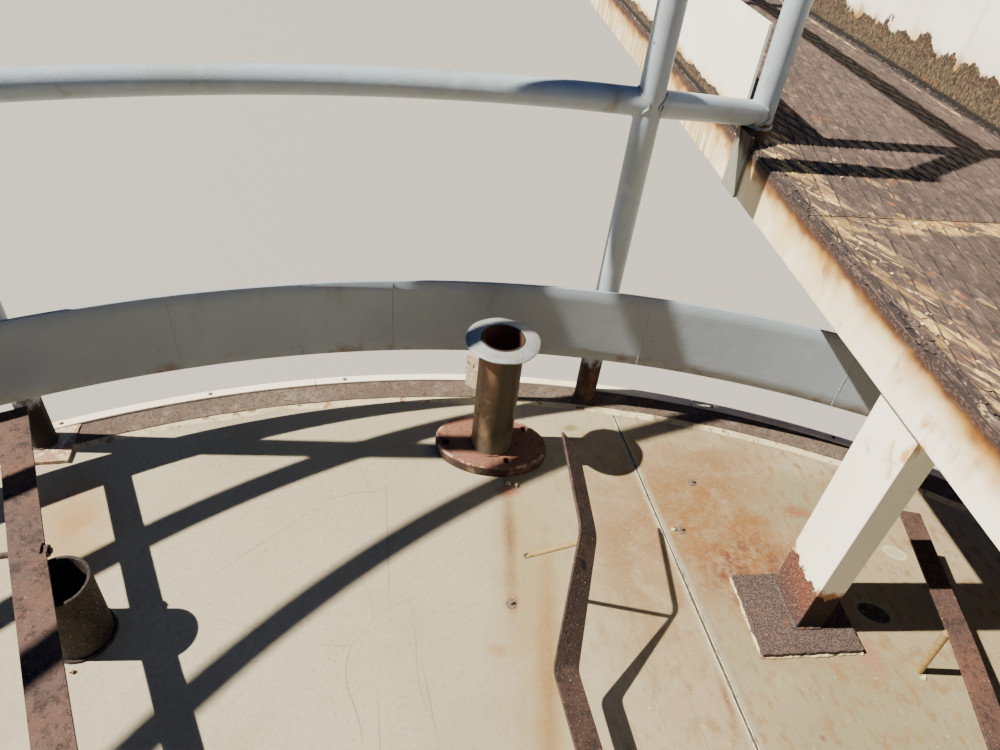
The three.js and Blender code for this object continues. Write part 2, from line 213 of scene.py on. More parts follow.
def pathMesh(paths):
    # plain edges for the Geometry Nodes trees to follow; each entry is (points, closed)
    mesh = bpy.data.meshes.new("paths")
    points, edges = [], []
    for path, closed in paths:
        first = len(points)
        points += [tuple(p) for p in path]
        edges += [(first + i, first + i + 1) for i in range(len(path) - 1)]
        if closed:
            edges.append((first + len(path) - 1, first))
    mesh.from_pydata(points, edges, [])
    return mesh


def dress(piece, replaced=()):
    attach(piece, "root")
    if replaced:
        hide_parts(*replaced)
    return piece


def finishPiece(name, shape, material, replaced=(), bevel=0.0, crease=32):
    bmesh.ops.recalc_face_normals(shape, faces=shape.faces)
    mesh = bpy.data.meshes.new(name)
    shape.to_mesh(mesh)
    shape.free()
    mesh.materials.append(material)
    mesh.shade_smooth()
    piece = putIn(name, mesh)
    if bevel:
        edge = piece.modifiers.new("worn edge", "BEVEL")
        edge.width = bevel
        edge.segments = 2
        edge.limit_method = "ANGLE"
        edge.angle_limit = math.radians(40)
        edge.harden_normals = True
    else:
        mesh.set_sharp_from_angle(angle=math.radians(crease))
    return dress(piece, replaced)


def repaint(node, material):
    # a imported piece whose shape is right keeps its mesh
    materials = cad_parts[node].data.materials
    materials.clear()
    materials.append(material)


# Nodes
def addNode(tree, kind, sockets=None, **settings):
    made = tree.nodes.new(kind)
    for key, value in settings.items():
        setattr(made, key, value)
    for socket, value in (sockets or {}).items():
        if isinstance(value, bpy.types.NodeSocket):
            tree.links.new(value, made.inputs[socket])
        else:
            made.inputs[socket].default_value = value
    return made


def linear(code):
    # an sRGB hex colour as the linear one that a shader takes
    channels = [int(code[i:i + 2], 16) / 255 for i in (1, 3, 5)]
    return [c / 12.92 if c <= 0.04045 else ((c + 0.055) / 1.055) ** 2.4 for c in channels] + [1.0]


class Finish:
    # A surface built up in coats, each laid over the last where its mask is 1
    def __init__(self, name, colour, roughness, metallic=0.0):
        self.material = bpy.data.materials.new(name)
        self.material.use_nodes = True
        self.tree = self.material.node_tree
        self.shader = self.tree.nodes["Principled BSDF"]
        self.place = addNode(self.tree, "ShaderNodeTexCoord").outputs["Object"]
        self.colour = linear(colour)
        self.roughness = roughness
        self.metallic = metallic
        self.height = 0.0
        self.seed = 0
        self.edges = {}

    def blotches(self, size, low, high, stretch=(1, 1, 1), turn=0.0, detail=3, within=None):
        # noise with blobs about "size" across; they cover more as low and high fall
        self.seed += 1
        shift = (self.seed * 3.7, self.seed * 5.1, self.seed * 1.9)
        where = addNode(self.tree, "ShaderNodeMapping", {
            0: self.place, 1: shift, 2: (0, 0, math.radians(turn)), 3: [size * s for s in stretch]},
            vector_type="TEXTURE")
        speckle = addNode(self.tree, "ShaderNodeTexNoise", {
            "Vector": where.outputs[0], "Scale": 1.0, "Detail": detail, "Roughness": 0.6})
        mask = addNode(self.tree, "ShaderNodeMapRange", {0: speckle.outputs[0], 1: low, 2: high},
                       interpolation_type="SMOOTHSTEP").outputs[0]
        return self.overlap(mask, within)

    def overlap(self, mask, other):
        if other is None:
            return mask
        return addNode(self.tree, "ShaderNodeMath", {0: mask, 1: other},
                       operation="MULTIPLY").outputs[0]

    def roughEdge(self, grain):
        # one noise for all the stains whose edges are ragged at the same scale
        if grain not in self.edges:
            self.edges[grain] = addNode(self.tree, "ShaderNodeTexNoise", {
                "Vector": self.place, "Scale": 1 / grain, "Detail": 4.0,
                "Roughness": 0.65}).outputs[0]
        return self.edges[grain]

    def spot(self, centre, reach, turn=0.0, ragged=0.6, fade=0.5, grain=0.04):
        # an oval patch in plan with a ragged, faded edge
        where = addNode(self.tree, "ShaderNodeMapping", {
            0: self.place, 1: (*centre, 0), 2: (0, 0, math.radians(turn)), 3: (*reach, 1000)},
            vector_type="TEXTURE")
        out = addNode(self.tree, "ShaderNodeVectorMath", {0: where.outputs[0]}, operation="LENGTH")
        worn = addNode(self.tree, "ShaderNodeMath", {
            0: self.roughEdge(grain), 1: ragged, 2: out.outputs["Value"]}, operation="MULTIPLY_ADD")
        return addNode(self.tree, "ShaderNodeMapRange", {
            0: worn.outputs[0], 1: 1 + ragged / 2, 2: 1 + ragged / 2 - fade}).outputs[0]

    def runs(self, level, reach, spacing, fade=0.5, ragged=1.0, drag=0.12, detail=3.0):
        # a stain that runs from a height: down for a positive reach, up for a negative one;
        # a small "drag" draws it out into drips, 1 leaves round lobes
        self.seed += 1
        z = addNode(self.tree, "ShaderNodeSeparateXYZ", {0: self.place}).outputs[2]
        away = addNode(self.tree, "ShaderNodeMapRange", {0: z, 1: level, 2: level - reach},
                       clamp=False)
        shift = (self.seed * 2.3, self.seed * 4.1, 0)
        where = addNode(self.tree, "ShaderNodeMapping", {
            0: self.place, 1: shift, 3: (1 / spacing, 1 / spacing, drag / spacing)})
        uneven = addNode(self.tree, "ShaderNodeTexNoise", {
            "Vector": where.outputs[0], "Scale": 1.0, "Detail": detail, "Roughness": 0.6})
        worn = addNode(self.tree, "ShaderNodeMath", {
            0: uneven.outputs[0], 1: ragged * 1.6, 2: away.outputs[0]}, operation="MULTIPLY_ADD")
        start = 1 + ragged * 0.8
        return addNode(self.tree, "ShaderNodeMapRange", {
            0: worn.outputs[0], 1: start, 2: start - fade},
            interpolation_type="SMOOTHSTEP").outputs[0]

    def sideways(self, turn, axis=0):
        # the distance across (0) or along (1) a direction in plan, or the height (2)
        where = addNode(self.tree, "ShaderNodeMapping",
                        {0: self.place, 2: (0, 0, math.radians(turn))},
                        vector_type="TEXTURE")
        return addNode(self.tree, "ShaderNodeSeparateXYZ", {0: where.outputs[0]}).outputs[axis]

    def lane(self, low, high, turn, fade, axis=0, ragged=0.0, grain=0.05, within=None):
        # a straight band between two distances, with a ragged edge
        worn = addNode(self.tree, "ShaderNodeMath", {
            0: self.roughEdge(grain), 1: ragged, 2: self.sideways(turn, axis)},
            operation="MULTIPLY_ADD")
        middle = (low + high + ragged) / 2
        away = addNode(self.tree, "ShaderNodeMath", {0: worn.outputs[0], 1: middle},
                       operation="SUBTRACT")
        away = addNode(self.tree, "ShaderNodeMath", {0: away.outputs[0]}, operation="ABSOLUTE")
        half = (high - low) / 2
        mask = addNode(self.tree, "ShaderNodeMapRange", {
            0: away.outputs[0], 1: half + fade / 2, 2: half - fade / 2},
            interpolation_type="SMOOTHSTEP")
        return self.overlap(mask.outputs[0], within)

    def ruled(self, turn, spacing, width, shift=0.0, within=None):
        # parallel lines, each "width" wide, that waver a little
        sway = addNode(self.tree, "ShaderNodeTexNoise", {
            "Vector": self.place, "Scale": 30.0, "Detail": 3.0})
        worn = addNode(self.tree, "ShaderNodeMath", {
            0: sway.outputs[0], 1: width, 2: self.sideways(turn)}, operation="MULTIPLY_ADD")
        shifted = addNode(self.tree, "ShaderNodeMath", {
            0: worn.outputs[0], 1: width / 2 + shift}, operation="SUBTRACT")
        away = addNode(self.tree, "ShaderNodeMath", {
            0: shifted.outputs[0], 1: spacing / 2}, operation="PINGPONG")
        line = addNode(self.tree, "ShaderNodeMapRange",
                       {0: away.outputs[0], 1: width, 2: width * 0.3})
        return self.overlap(line.outputs[0], within)

    def hairlines(self, size, width, stretch=(1, 1, 1), within=None):
        # thin broken lines, such as scratches and cracks
        bend = addNode(self.tree, "ShaderNodeTexNoise", {"Vector": self.place, "Scale": 0.6 / size})
        bent = addNode(self.tree, "ShaderNodeVectorMath", {
            0: bend.outputs["Color"], 1: (size, size, size), 2: self.place}, operation="MULTIPLY_ADD")
        where = addNode(self.tree, "ShaderNodeMapping", {
            0: bent.outputs[0], 3: [1 / (size * s) for s in stretch]})
        cells = addNode(self.tree, "ShaderNodeTexVoronoi", {"Vector": where.outputs[0], "Scale": 1.0},
                        feature="DISTANCE_TO_EDGE")
        line = addNode(self.tree, "ShaderNodeMapRange", {
            0: cells.outputs["Distance"], 1: width / size, 2: 0.0}).outputs[0]
        return self.overlap(line, within)

    def coat(self, mask, colour=None, roughness=None, rise=0.0, metallic=None):
        # "rise" is how far the coat stands up, in metres
        if colour:
            self.colour = addNode(self.tree, "ShaderNodeMix", {
                0: mask, 6: self.colour, 7: linear(colour)}, data_type="RGBA").outputs[2]
        if roughness is not None:
            self.roughness = addNode(self.tree, "ShaderNodeMix", {
                0: mask, 2: self.roughness, 3: roughness}).outputs[0]
        if metallic is not None:
            self.metallic = addNode(self.tree, "ShaderNodeMix", {
                0: mask, 2: self.metallic, 3: metallic}).outputs[0]
        if rise:
            self.height = addNode(self.tree, "ShaderNodeMath", {
                0: mask, 1: rise, 2: self.height}, operation="MULTIPLY_ADD").outputs[0]
        return mask

    def mottle(self, size, low, high, colour=None, roughness=None, rise=0.0, metallic=None,
               **pattern):
        # a coat of blotches
        return self.coat(self.blotches(size, low, high, **pattern), colour, roughness, rise, metallic)

    def done(self):
        bump = addNode(self.tree, "ShaderNodeBump", {
            "Height": self.height, "Distance": 1.0, "Strength": 1.0})
        for label, value in (("Base Color", self.colour), ("Roughness", self.roughness),
                             ("Metallic", self.metallic), ("Normal", bump.outputs[0])):
            if isinstance(value, bpy.types.NodeSocket):
                self.tree.links.new(value, self.shader.inputs[label])
            else:
                self.shader.inputs[label].default_value = value
        return self.material


# Where the roof is stained: water stands beside the seam, the nozzle and the walkway's leg.
# Each wash is (kind, centre, reach, turn, raggedness, fade, grain), and each kind is
# (colour, size, low, high).
roofStains = {
    "seam": 14.8,
    "base": "#9C937A",
    "pale": "#A49D84",
    "dull": "#948C73",
    "scratch": "#756C59",
    "kinds": {
        "brown": ("#7E6745", 0.05, 0.2, 0.6),
        "dusty": ("#8F8065", 0.12, 0.15, 0.55),
        "orange": ("#7A552C", 0.035, 0.3, 0.62),
        "rust": ("#623824", 0.02, 0.34, 0.62),
        "green": ("#7F785C", 0.15, 0.1, 0.5),
        "grey": ("#797260", 0.04, 0.1, 0.6),
        "yellow": ("#93713A", 0.06, 0.1, 0.5),
    },
    "washes": [
        ("dusty", (0.50, 1.35), (0.60, 1.00), 14.8, 0.5, 0.5, 0.12),
        ("dusty", (-0.11, 1.38), (0.10, 0.42), 3, 0.7, 0.9, 0.08),
        ("brown", (0.06, 1.56), (0.12, 0.34), 13, 0.6, 0.8, 0.06),
        ("brown", (0.24, 1.70), (0.25, 0.30), 14.8, 0.6, 0.6, 0.08),
        ("green", (0.45, 1.74), (0.19, 0.09), 8, 0.7, 0.5, 0.08),
        ("orange", (0.23, 1.66), (0.20, 0.24), 14.8, 0.9, 0.7, 0.06),
        ("orange", (0.312, 1.51), (0.165, 0.185), 9.9, 0.7, 0.6, 0.05),
        ("orange", (0.45, 1.36), (0.16, 0.06), 0, 1.0, 0.9, 0.05),
        ("rust", (0.30, 1.525), (0.125, 0.125), 9.9, 0.6, 0.5, 0.035),
        ("green", (0.245, 1.40), (0.05, 0.14), 14.8, 0.7, 0.7, 0.05),
        ("green", (0.40, 1.22), (0.12, 0.16), 14.8, 0.7, 0.6, 0.08),
        ("green", (0.62, 1.00), (0.45, 0.62), 14.8, 0.6, 0.5, 0.12),
        ("grey", (0.195, 1.43), (0.016, 0.32), 15.8, 0.5, 0.6, 0.04),
        ("yellow", (-0.945, 1.465), (0.085, 0.17), 30, 0.8, 1.0, 0.06),
    ],
    "streaks": [
        ((-0.150, 1.55), (0.050, 0.24), 6, "#8F8054"),
        ((-0.164, 1.56), (0.018, 0.20), 6, "#6B5030"),
        ((-0.086, 1.32), (0.060, 0.46), 2.7, "#8F8056"),
        ((-0.082, 1.27), (0.026, 0.36), 2.7, "#7D5F33"),
    ],
    "marks": [
        ((-0.150, 1.418), (0.016, 0.022), 6, 0.8, "#7A503A"),
        ((-0.172, 1.672), (0.030, 0.020), 0, 0.8, "#8D604B"),
        ((-0.164, 1.327), (0.030, 0.016), 0, 1.0, "#8F7959"),
        ((-0.047, 1.879), (0.024, 0.014), 20, 0.6, "#726845"),
        ((0.213, 1.289), (0.014, 0.045), 16, 0.9, "#744D31"),
        ((0.423, 1.710), (0.040, 0.022), 0, 0.9, "#7D543B"),
        ((0.352, 1.245), (0.008, 0.008), 0, 0.9, "#7A4E43"),
        ((0.475, 1.400), (0.030, 0.060), 10, 0.9, "#876850"),
        ((-0.128, 1.290), (0.012, 0.010), 0, 0.9, "#928266"),
    ],
    "rings": [
        ((0.511, 1.488), (0.042, 0.027), -20, 0.74, "#8A826C", "#120F0C"),
        ((0.600, 1.634), (0.026, 0.017), -20, 0.7, "#ADA588", "#9C947A"),
    ],
    "scratches": [
        ((0.058, 1.425), (0.0018, 0.24), 12.8),
        ((-0.390, 1.520), (0.0011, 0.21), 12.6),
        ((-0.268, 1.234), (0.0011, 0.09), 19.9),
        ((-0.330, 1.160), (0.0010, 0.11), 14),
        ((-0.610, 1.480), (0.0010, 0.17), -38),
        ((0.160, 1.230), (0.0012, 0.12), 16),
        ((0.420, 1.300), (0.0014, 0.10), 20),
    ],
}


# Old alkyd paint rolled on the roof: chalky and dull, with rain streaks and rust washed over it.
# The stains lie where water stands and runs, beside the nozzle, the seam and the walkway's leg.
def makeRoofPaint():
    f = Finish("chalked roof paint", roofStains["base"], 0.6)
    f.mottle(0.7, 0.35, 0.7, roofStains["pale"], 0.58)
    f.mottle(0.25, 0.45, 0.8, roofStains["dull"], 0.62)
    seam = roofStains["seam"]
    mottles = {kind: f.blotches(*shape) for kind, (_, *shape) in roofStains["kinds"].items()}
    for kind, centre, reach, turn, ragged, fade, grain in roofStains["washes"]:
        field = f.spot(centre, reach, turn, ragged, fade, grain)
        f.coat(f.overlap(mottles[kind], field), roofStains["kinds"][kind][0])
    behind = f.spot((0.0, -0.9), (2.3, 1.5), ragged=0.5, fade=0.5, grain=0.12)
    patches = f.blotches(0.5, 0.42, 0.6, within=behind)
    f.coat(f.overlap(mottles["orange"], patches), roofStains["kinds"]["brown"][0])
    f.mottle(0.3, 0.5, 0.75, roofStains["kinds"]["dusty"][0], stretch=(1, 3, 1), turn=seam,
             within=behind)
    worn = f.spot((0.55, 1.4), (0.72, 0.95), seam, 0.6, 0.5, 0.12)
    f.mottle(0.016, 0.48, 0.7, roofStains["kinds"]["brown"][0], stretch=(1, 2, 1), turn=seam,
             within=worn)
    drawn = f.blotches(0.03, -0.1, 0.5, (1, 6, 1), 4)
    for centre, reach, turn, colour in roofStains["streaks"]:
        f.coat(f.overlap(drawn, f.spot(centre, reach, turn, 0.7, 1.0, 0.05)), colour)
    for centre, reach, turn, ragged, colour in roofStains["marks"]:
        f.coat(f.spot(centre, reach, turn, ragged, 0.7, 0.02), colour)
    for centre, reach, turn, inside, outer, inner in roofStains["rings"]:
        f.coat(f.spot(centre, reach, turn, 0.15, 0.16, 0.02), outer)
        f.coat(f.spot(centre, [r * inside for r in reach], turn, 0.15, 0.16, 0.02), inner)
    for centre, reach, turn in roofStains["scratches"]:
        f.coat(f.spot(centre, reach, turn, 0.3, 0.6, 0.035), roofStains["scratch"])
    for offset in roof["seams"]:
        beside = f.lane(offset - 0.010, offset + 0.010, seam, 0.01, ragged=0.008, grain=0.05)
        f.coat(beside, roofStains["dull"])
        joint = f.lane(offset - 0.0016, offset + 0.0016, seam, 0.0015, ragged=0.003, grain=0.05)
        f.coat(joint, "#2E2A24", 0.8)
    f.coat(f.hairlines(0.5, 0.0009, within=f.blotches(0.35, 0.5, 0.62)), roofStains["scratch"])
    f.mottle(0.005, 0.72, 0.77, "#766A56", 0.75, detail=1)
    f.mottle(0.0045, 0.74, 0.78, "#BDB7A0", 0.6, detail=1)
    f.mottle(0.09, 0.3, 0.7, rise=0.0006, detail=1)
    f.mottle(0.003, 0.2, 0.8, rise=0.00008, detail=2)
    f.mottle(0.008, 0.46, 0.9, "#867D66", 0.64, detail=4)
    return f.done()


# Brush-painted shell plate: pale cream, dulled by dust, with rust runs from the rim and the seams.
def makeShellPaint():
    f = Finish("chalked shell paint", "#C0BBAB", 0.55)
    f.mottle(0.9, 0.35, 0.7, "#B2AD9C", 0.6)
    f.mottle(0.05, 0.45, 0.85, "#A8A18E", 0.62, stretch=(1, 1, 16))
    rain = f.runs(roofTop, 1.9, 0.12, fade=1.7, ragged=1.2, drag=0.05)
    f.mottle(0.08, 0.42, 0.7, "#8D8571", 0.68, stretch=(1, 1, 22), within=rain)
    dust = f.runs(0.02, -0.7, 0.12, fade=1.4)
    f.coat(dust, "#928977", 0.8)
    for level, reach in ((roofTop, 0.75), (roofTop - 1.506, 0.3), (roofTop - 3.006, 0.25)):
        below = f.runs(level, reach, 0.05, fade=1.2, ragged=1.3)
        seamOnly = f.runs(level + 0.002, -0.012, 0.05, fade=1.0, ragged=0.0)
        wet = f.overlap(below, seamOnly)
        f.mottle(0.05, 0.38, 0.75, "#8C7452", 0.7, stretch=(1, 1, 14), within=wet)
        f.mottle(0.03, 0.5, 0.75, "#7C4F2E", 0.75, stretch=(1, 1, 12), within=wet)
        near = f.overlap(f.runs(level, 0.03, 0.03, fade=0.8, ragged=0.8), seamOnly)
        f.mottle(0.03, 0.4, 0.6, "#5E3A26", 0.8, within=near)
    f.mottle(0.02, 0.68, 0.75, "#7B5035", 0.8, -0.0002)
    f.coat(f.hairlines(0.3, 0.0012, within=f.blotches(0.25, 0.5, 0.6)), "#89816F", rise=-0.0002)
    f.mottle(0.35, 0.3, 0.7, rise=0.0012)
    f.mottle(0.004, 0.2, 0.8, rise=0.00008, detail=3)
    return f.done()


# The curb ring: mill scale and old paint gone to fine granular brown-pink rust.
def makeCurbRust():
    f = Finish("granular rusty curb", "#5D5147", 0.85)
    f.mottle(0.12, 0.35, 0.65, "#51433A", 0.9)
    f.mottle(0.05, 0.5, 0.7, "#6C6358", 0.8)
    f.mottle(0.006, 0.45, 0.7, "#403027", 0.9, -0.0004)
    f.mottle(0.004, 0.6, 0.75, "#767167", 0.8, 0.0003)
    f.mottle(0.02, 0.3, 0.7, rise=0.0008)
    return f.done()


# Cream gloss paint on the rim strip: lifted at its edges, with small rust marks that bleed.
def makeStripPaint():
    f = Finish("lifting cream strip paint", "#F2E9CF", 0.45)
    f.mottle(0.3, 0.45, 0.75, "#DDD2B6", 0.55)
    f.mottle(0.03, 0.6, 0.8, "#BFB297", 0.65)
    f.mottle(0.012, 0.7, 0.74, "#6B4A38", 0.85, -0.0004)
    f.mottle(0.1, 0.68, 0.76, "#A78770", 0.75)
    f.mottle(0.005, 0.3, 0.8, rise=0.0002)
    return f.done()


# Grey industrial enamel on the toe plate: satin, brushed lengthwise, with rust at its lower edge.
def makeToePaint():
    f = Finish("grey toe plate enamel", "#909DA9", 0.42)
    f.mottle(0.6, 0.35, 0.7, "#88939A", 0.48)
    f.mottle(0.05, 0.55, 0.85, "#9DA6A8", 0.5, stretch=(1, 1, 2))
    f.mottle(0.09, 0.55, 0.8, "#7F8988", 0.5, stretch=(1, 1, 3))
    low = f.runs(roofTop + 0.139, -0.035, 0.05, fade=1.0)
    f.mottle(0.05, 0.5, 0.7, "#7A6A58", 0.7, within=low)
    f.mottle(0.012, 0.73, 0.77, "#6B4D3C", 0.8, -0.0002)
    f.mottle(0.0025, 0.25, 0.75, rise=0.00022, detail=2)
    f.mottle(0.25, 0.3, 0.7, rise=0.0012)
    return f.done()


# Light grey enamel brushed on the rail pipes: fairly smooth, dusty on top, chipped to rust in spots.
def makeRailPaint():
    f = Finish("light grey rail enamel", "#A0B0BD", 0.36)
    f.mottle(0.2, 0.4, 0.7, "#9AA6AB", 0.42)
    f.mottle(0.03, 0.5, 0.85, "#B4BEC0", 0.4)
    f.mottle(0.07, 0.6, 0.78, "#8A8A80", 0.55, stretch=(1, 1, 2))
    low = f.runs(roofTop + 0.005, -0.14, 0.03, fade=0.3, ragged=0.6, drag=0.6)
    f.coat(low, "#2E1E18", 0.85, -0.0004)
    f.mottle(0.02, 0.5, 0.7, "#5A3626", 0.85, 0.0003, stretch=(1, 1, 2), within=low)
    f.mottle(0.016, 0.66, 0.72, "#9C9280", 0.6, 0.0004, stretch=(1, 1, 2), within=low)
    # the foot of the second guard post is painted near-black as painted shade, since that post stands
    # in shade
    shadedPost = polar(guard["radius"], guard["second"]).xy
    paintedShadeFoot = f.spot(shadedPost, (0.06, 0.06), ragged=0.0, fade=0.1, grain=0.02)
    f.coat(f.overlap(low, paintedShadeFoot), "#150E0B", 0.9)
    for side in walkSides:
        offset = side["face"] + side["inward"] * walk["gateInset"]
        post = onWalk(offset, walk["gate"][side["name"]], 0)
        near = f.spot(post.xy, (0.05, 0.05), ragged=0.0, fade=0.1, grain=0.02)
        foot = f.runs(deckTop - 0.01, -0.055, 0.02, fade=0.3, ragged=0.5, drag=0.8)
        f.coat(f.overlap(foot, near), "#4A382C", 0.85, -0.0003)
    f.mottle(0.016, 0.72, 0.76, "#6B4634", 0.8, -0.0003)
    f.mottle(0.006, 0.25, 0.8, rise=0.00015)
    return f.done()


# Cream gloss paint on the walkway steel: clean in the middle, with rust bleeding down
# from the deck's edge in drips, brown streaks and flaked patches.
def makeCreamPaint():
    f = Finish("cream walkway gloss", "#FAFAEA", 0.4)
    f.mottle(0.4, 0.45, 0.75, "#F4F2E0", 0.42)
    f.mottle(0.035, 0.6, 0.85, "#E8E2CA", 0.5, stretch=(1, 1, 7))
    yellowed = f.lane(1.5, 4.0, walkTurn, 0.5, axis=1)
    f.mottle(0.06, 0.2, 0.6, "#E2D2A4", 0.5, stretch=(1, 1, 3), within=yellowed)
    beyond = f.lane(2.16, 4.0, walkTurn, 0.02, axis=1)
    f.mottle(0.02, 0.4, 0.7, "#B09A6C", 0.6, stretch=(1, 1, 30), within=beyond)
    f.mottle(0.009, 0.55, 0.66, "#4A3620", 0.75, stretch=(1, 1, 60), within=beyond)
    top = deckTop - 0.004
    f.coat(f.runs(top, 0.11, 0.10, fade=1.2, ragged=0.6, drag=0.5, detail=1.5), "#E6CC8C", 0.5)
    f.coat(f.runs(top, 0.06, 0.08, fade=0.9, ragged=0.8, drag=0.5, detail=2.0), "#AA8238", 0.6)
    f.coat(f.runs(top, 0.038, 0.06, fade=0.7, ragged=0.8, drag=0.5, detail=3.0), "#6A4012", 0.65)
    drips = f.runs(top, 0.075, 0.022, fade=0.9, ragged=1.2, drag=0.05)
    f.mottle(0.09, 0.48, 0.62, "#8E6430", 0.6, within=drips)
    f.coat(f.runs(top, 0.025, 0.05, fade=0.6, ragged=0.7, drag=0.6), "#3C1F10", 0.75)
    f.coat(f.runs(top, 0.014, 0.03, fade=0.6, ragged=0.8, drag=0.6), "#2C201D", 0.9, -0.0006)
    f.mottle(0.006, 0.45, 0.65, "#54433C", 0.9, 0.0004, stretch=(1, 1, 0.6),
             within=f.runs(top, 0.02, 0.03, fade=0.6))
    f.mottle(0.05, 0.6, 0.72, "#C99C5E", stretch=(1, 1, 2),
             within=f.runs(deckTop - 0.08, -0.03, 0.1, fade=0.8))
    under = roofTop + walk["bottom"]
    lowEdge = f.lane(under - 0.002, under + 0.002, 0, 0.005, axis=2)
    f.mottle(0.05, 0.4, 0.65, "#B98A52", 0.55, within=lowEdge)
    f.coat(f.runs(roofTop, -0.125, 0.035, fade=0.16, ragged=0.5, drag=0.8), "#9C6E44", 0.6, 0.0006)
    foot = f.runs(roofTop, -0.114, 0.035, fade=0.06, ragged=0.5, drag=0.8)
    f.coat(foot, "#6A3A28", 0.9, -0.0014)
    f.coat(f.runs(roofTop, -0.08, 0.05, fade=0.6, ragged=0.6, drag=0.8), "#463230", 0.9)
    f.mottle(0.0035, 0.42, 0.62, "#33221E", 0.9, -0.0005, within=foot)
    f.mottle(0.004, 0.52, 0.68, "#86604F", 0.85, 0.0004, within=foot)
    # lower part of the leg's near face made near-black: painted shade, as that face is turned from the
    # key light
    paintedShadeNearFace = f.lane(1.3455, 1.3475, walkTurn, 0.002, axis=1, within=foot)
    f.coat(paintedShadeNearFace, "#1E1410", 0.9)
    f.mottle(0.01, 0.73, 0.77, "#6A4228", 0.8, -0.0003)
    f.mottle(0.3, 0.3, 0.7, rise=0.0006)
    f.mottle(0.005, 0.25, 0.8, rise=0.0001)
    return f.done()


# Cream paint on the walkway's toe plates: sound above, eaten away where water lay on the deck.
def makeWalkToePaint(name, reach):
    # "reach" is how high the plate is eaten, in metres
    f = Finish(name, "#F8F8EC", 0.42)
    f.mottle(0.3, 0.4, 0.7, "#EEEADA", 0.46)
    f.mottle(0.02, 0.55, 0.8, "#DFD9C8", 0.5, stretch=(1, 1, 20))
    halo = f.runs(deckTop, -reach * 1.3 - 0.02, 0.10, fade=0.8, ragged=0.8, drag=0.5, detail=1.5)
    f.coat(halo, "#D8BE84", 0.55)
    f.coat(f.runs(deckTop, -reach - 0.012, 0.06, fade=0.5, ragged=0.9, drag=0.6), "#9A743C", 0.7)
    eaten = f.runs(deckTop, -reach * 1.04, 0.07, fade=0.07, ragged=1.15, drag=0.7, detail=9.0)
    f.coat(eaten, "#3E2E20", 0.9, -0.0014)
    body = f.runs(deckTop, -reach * 0.84, 0.07, fade=0.14, ragged=0.9, drag=0.8, detail=8.0)
    f.mottle(0.05, 0.3, 0.6, "#4C4130", 0.9, within=body)
    f.mottle(0.008, 0.42, 0.62, "#261D17", 0.9, -0.0008, stretch=(1, 1, 1.5), within=eaten)
    f.mottle(0.005, 0.5, 0.7, "#75674C", 0.85, 0.0006, stretch=(1, 1, 1.8), within=eaten)
    f.mottle(0.03, 0.62, 0.74, "#6B4426", 0.85, within=eaten)
    # near-black band along the plate's foot: painted shade of the gap where the plate meets the deck
    f.coat(f.runs(deckTop, -0.014, 0.03, fade=0.4, ragged=0.5), "#15110E", 0.95)
    f.mottle(0.01, 0.73, 0.76, "#6A4228", 0.8, -0.0003)
    f.mottle(0.005, 0.25, 0.8, rise=0.0001)
    return f.done()


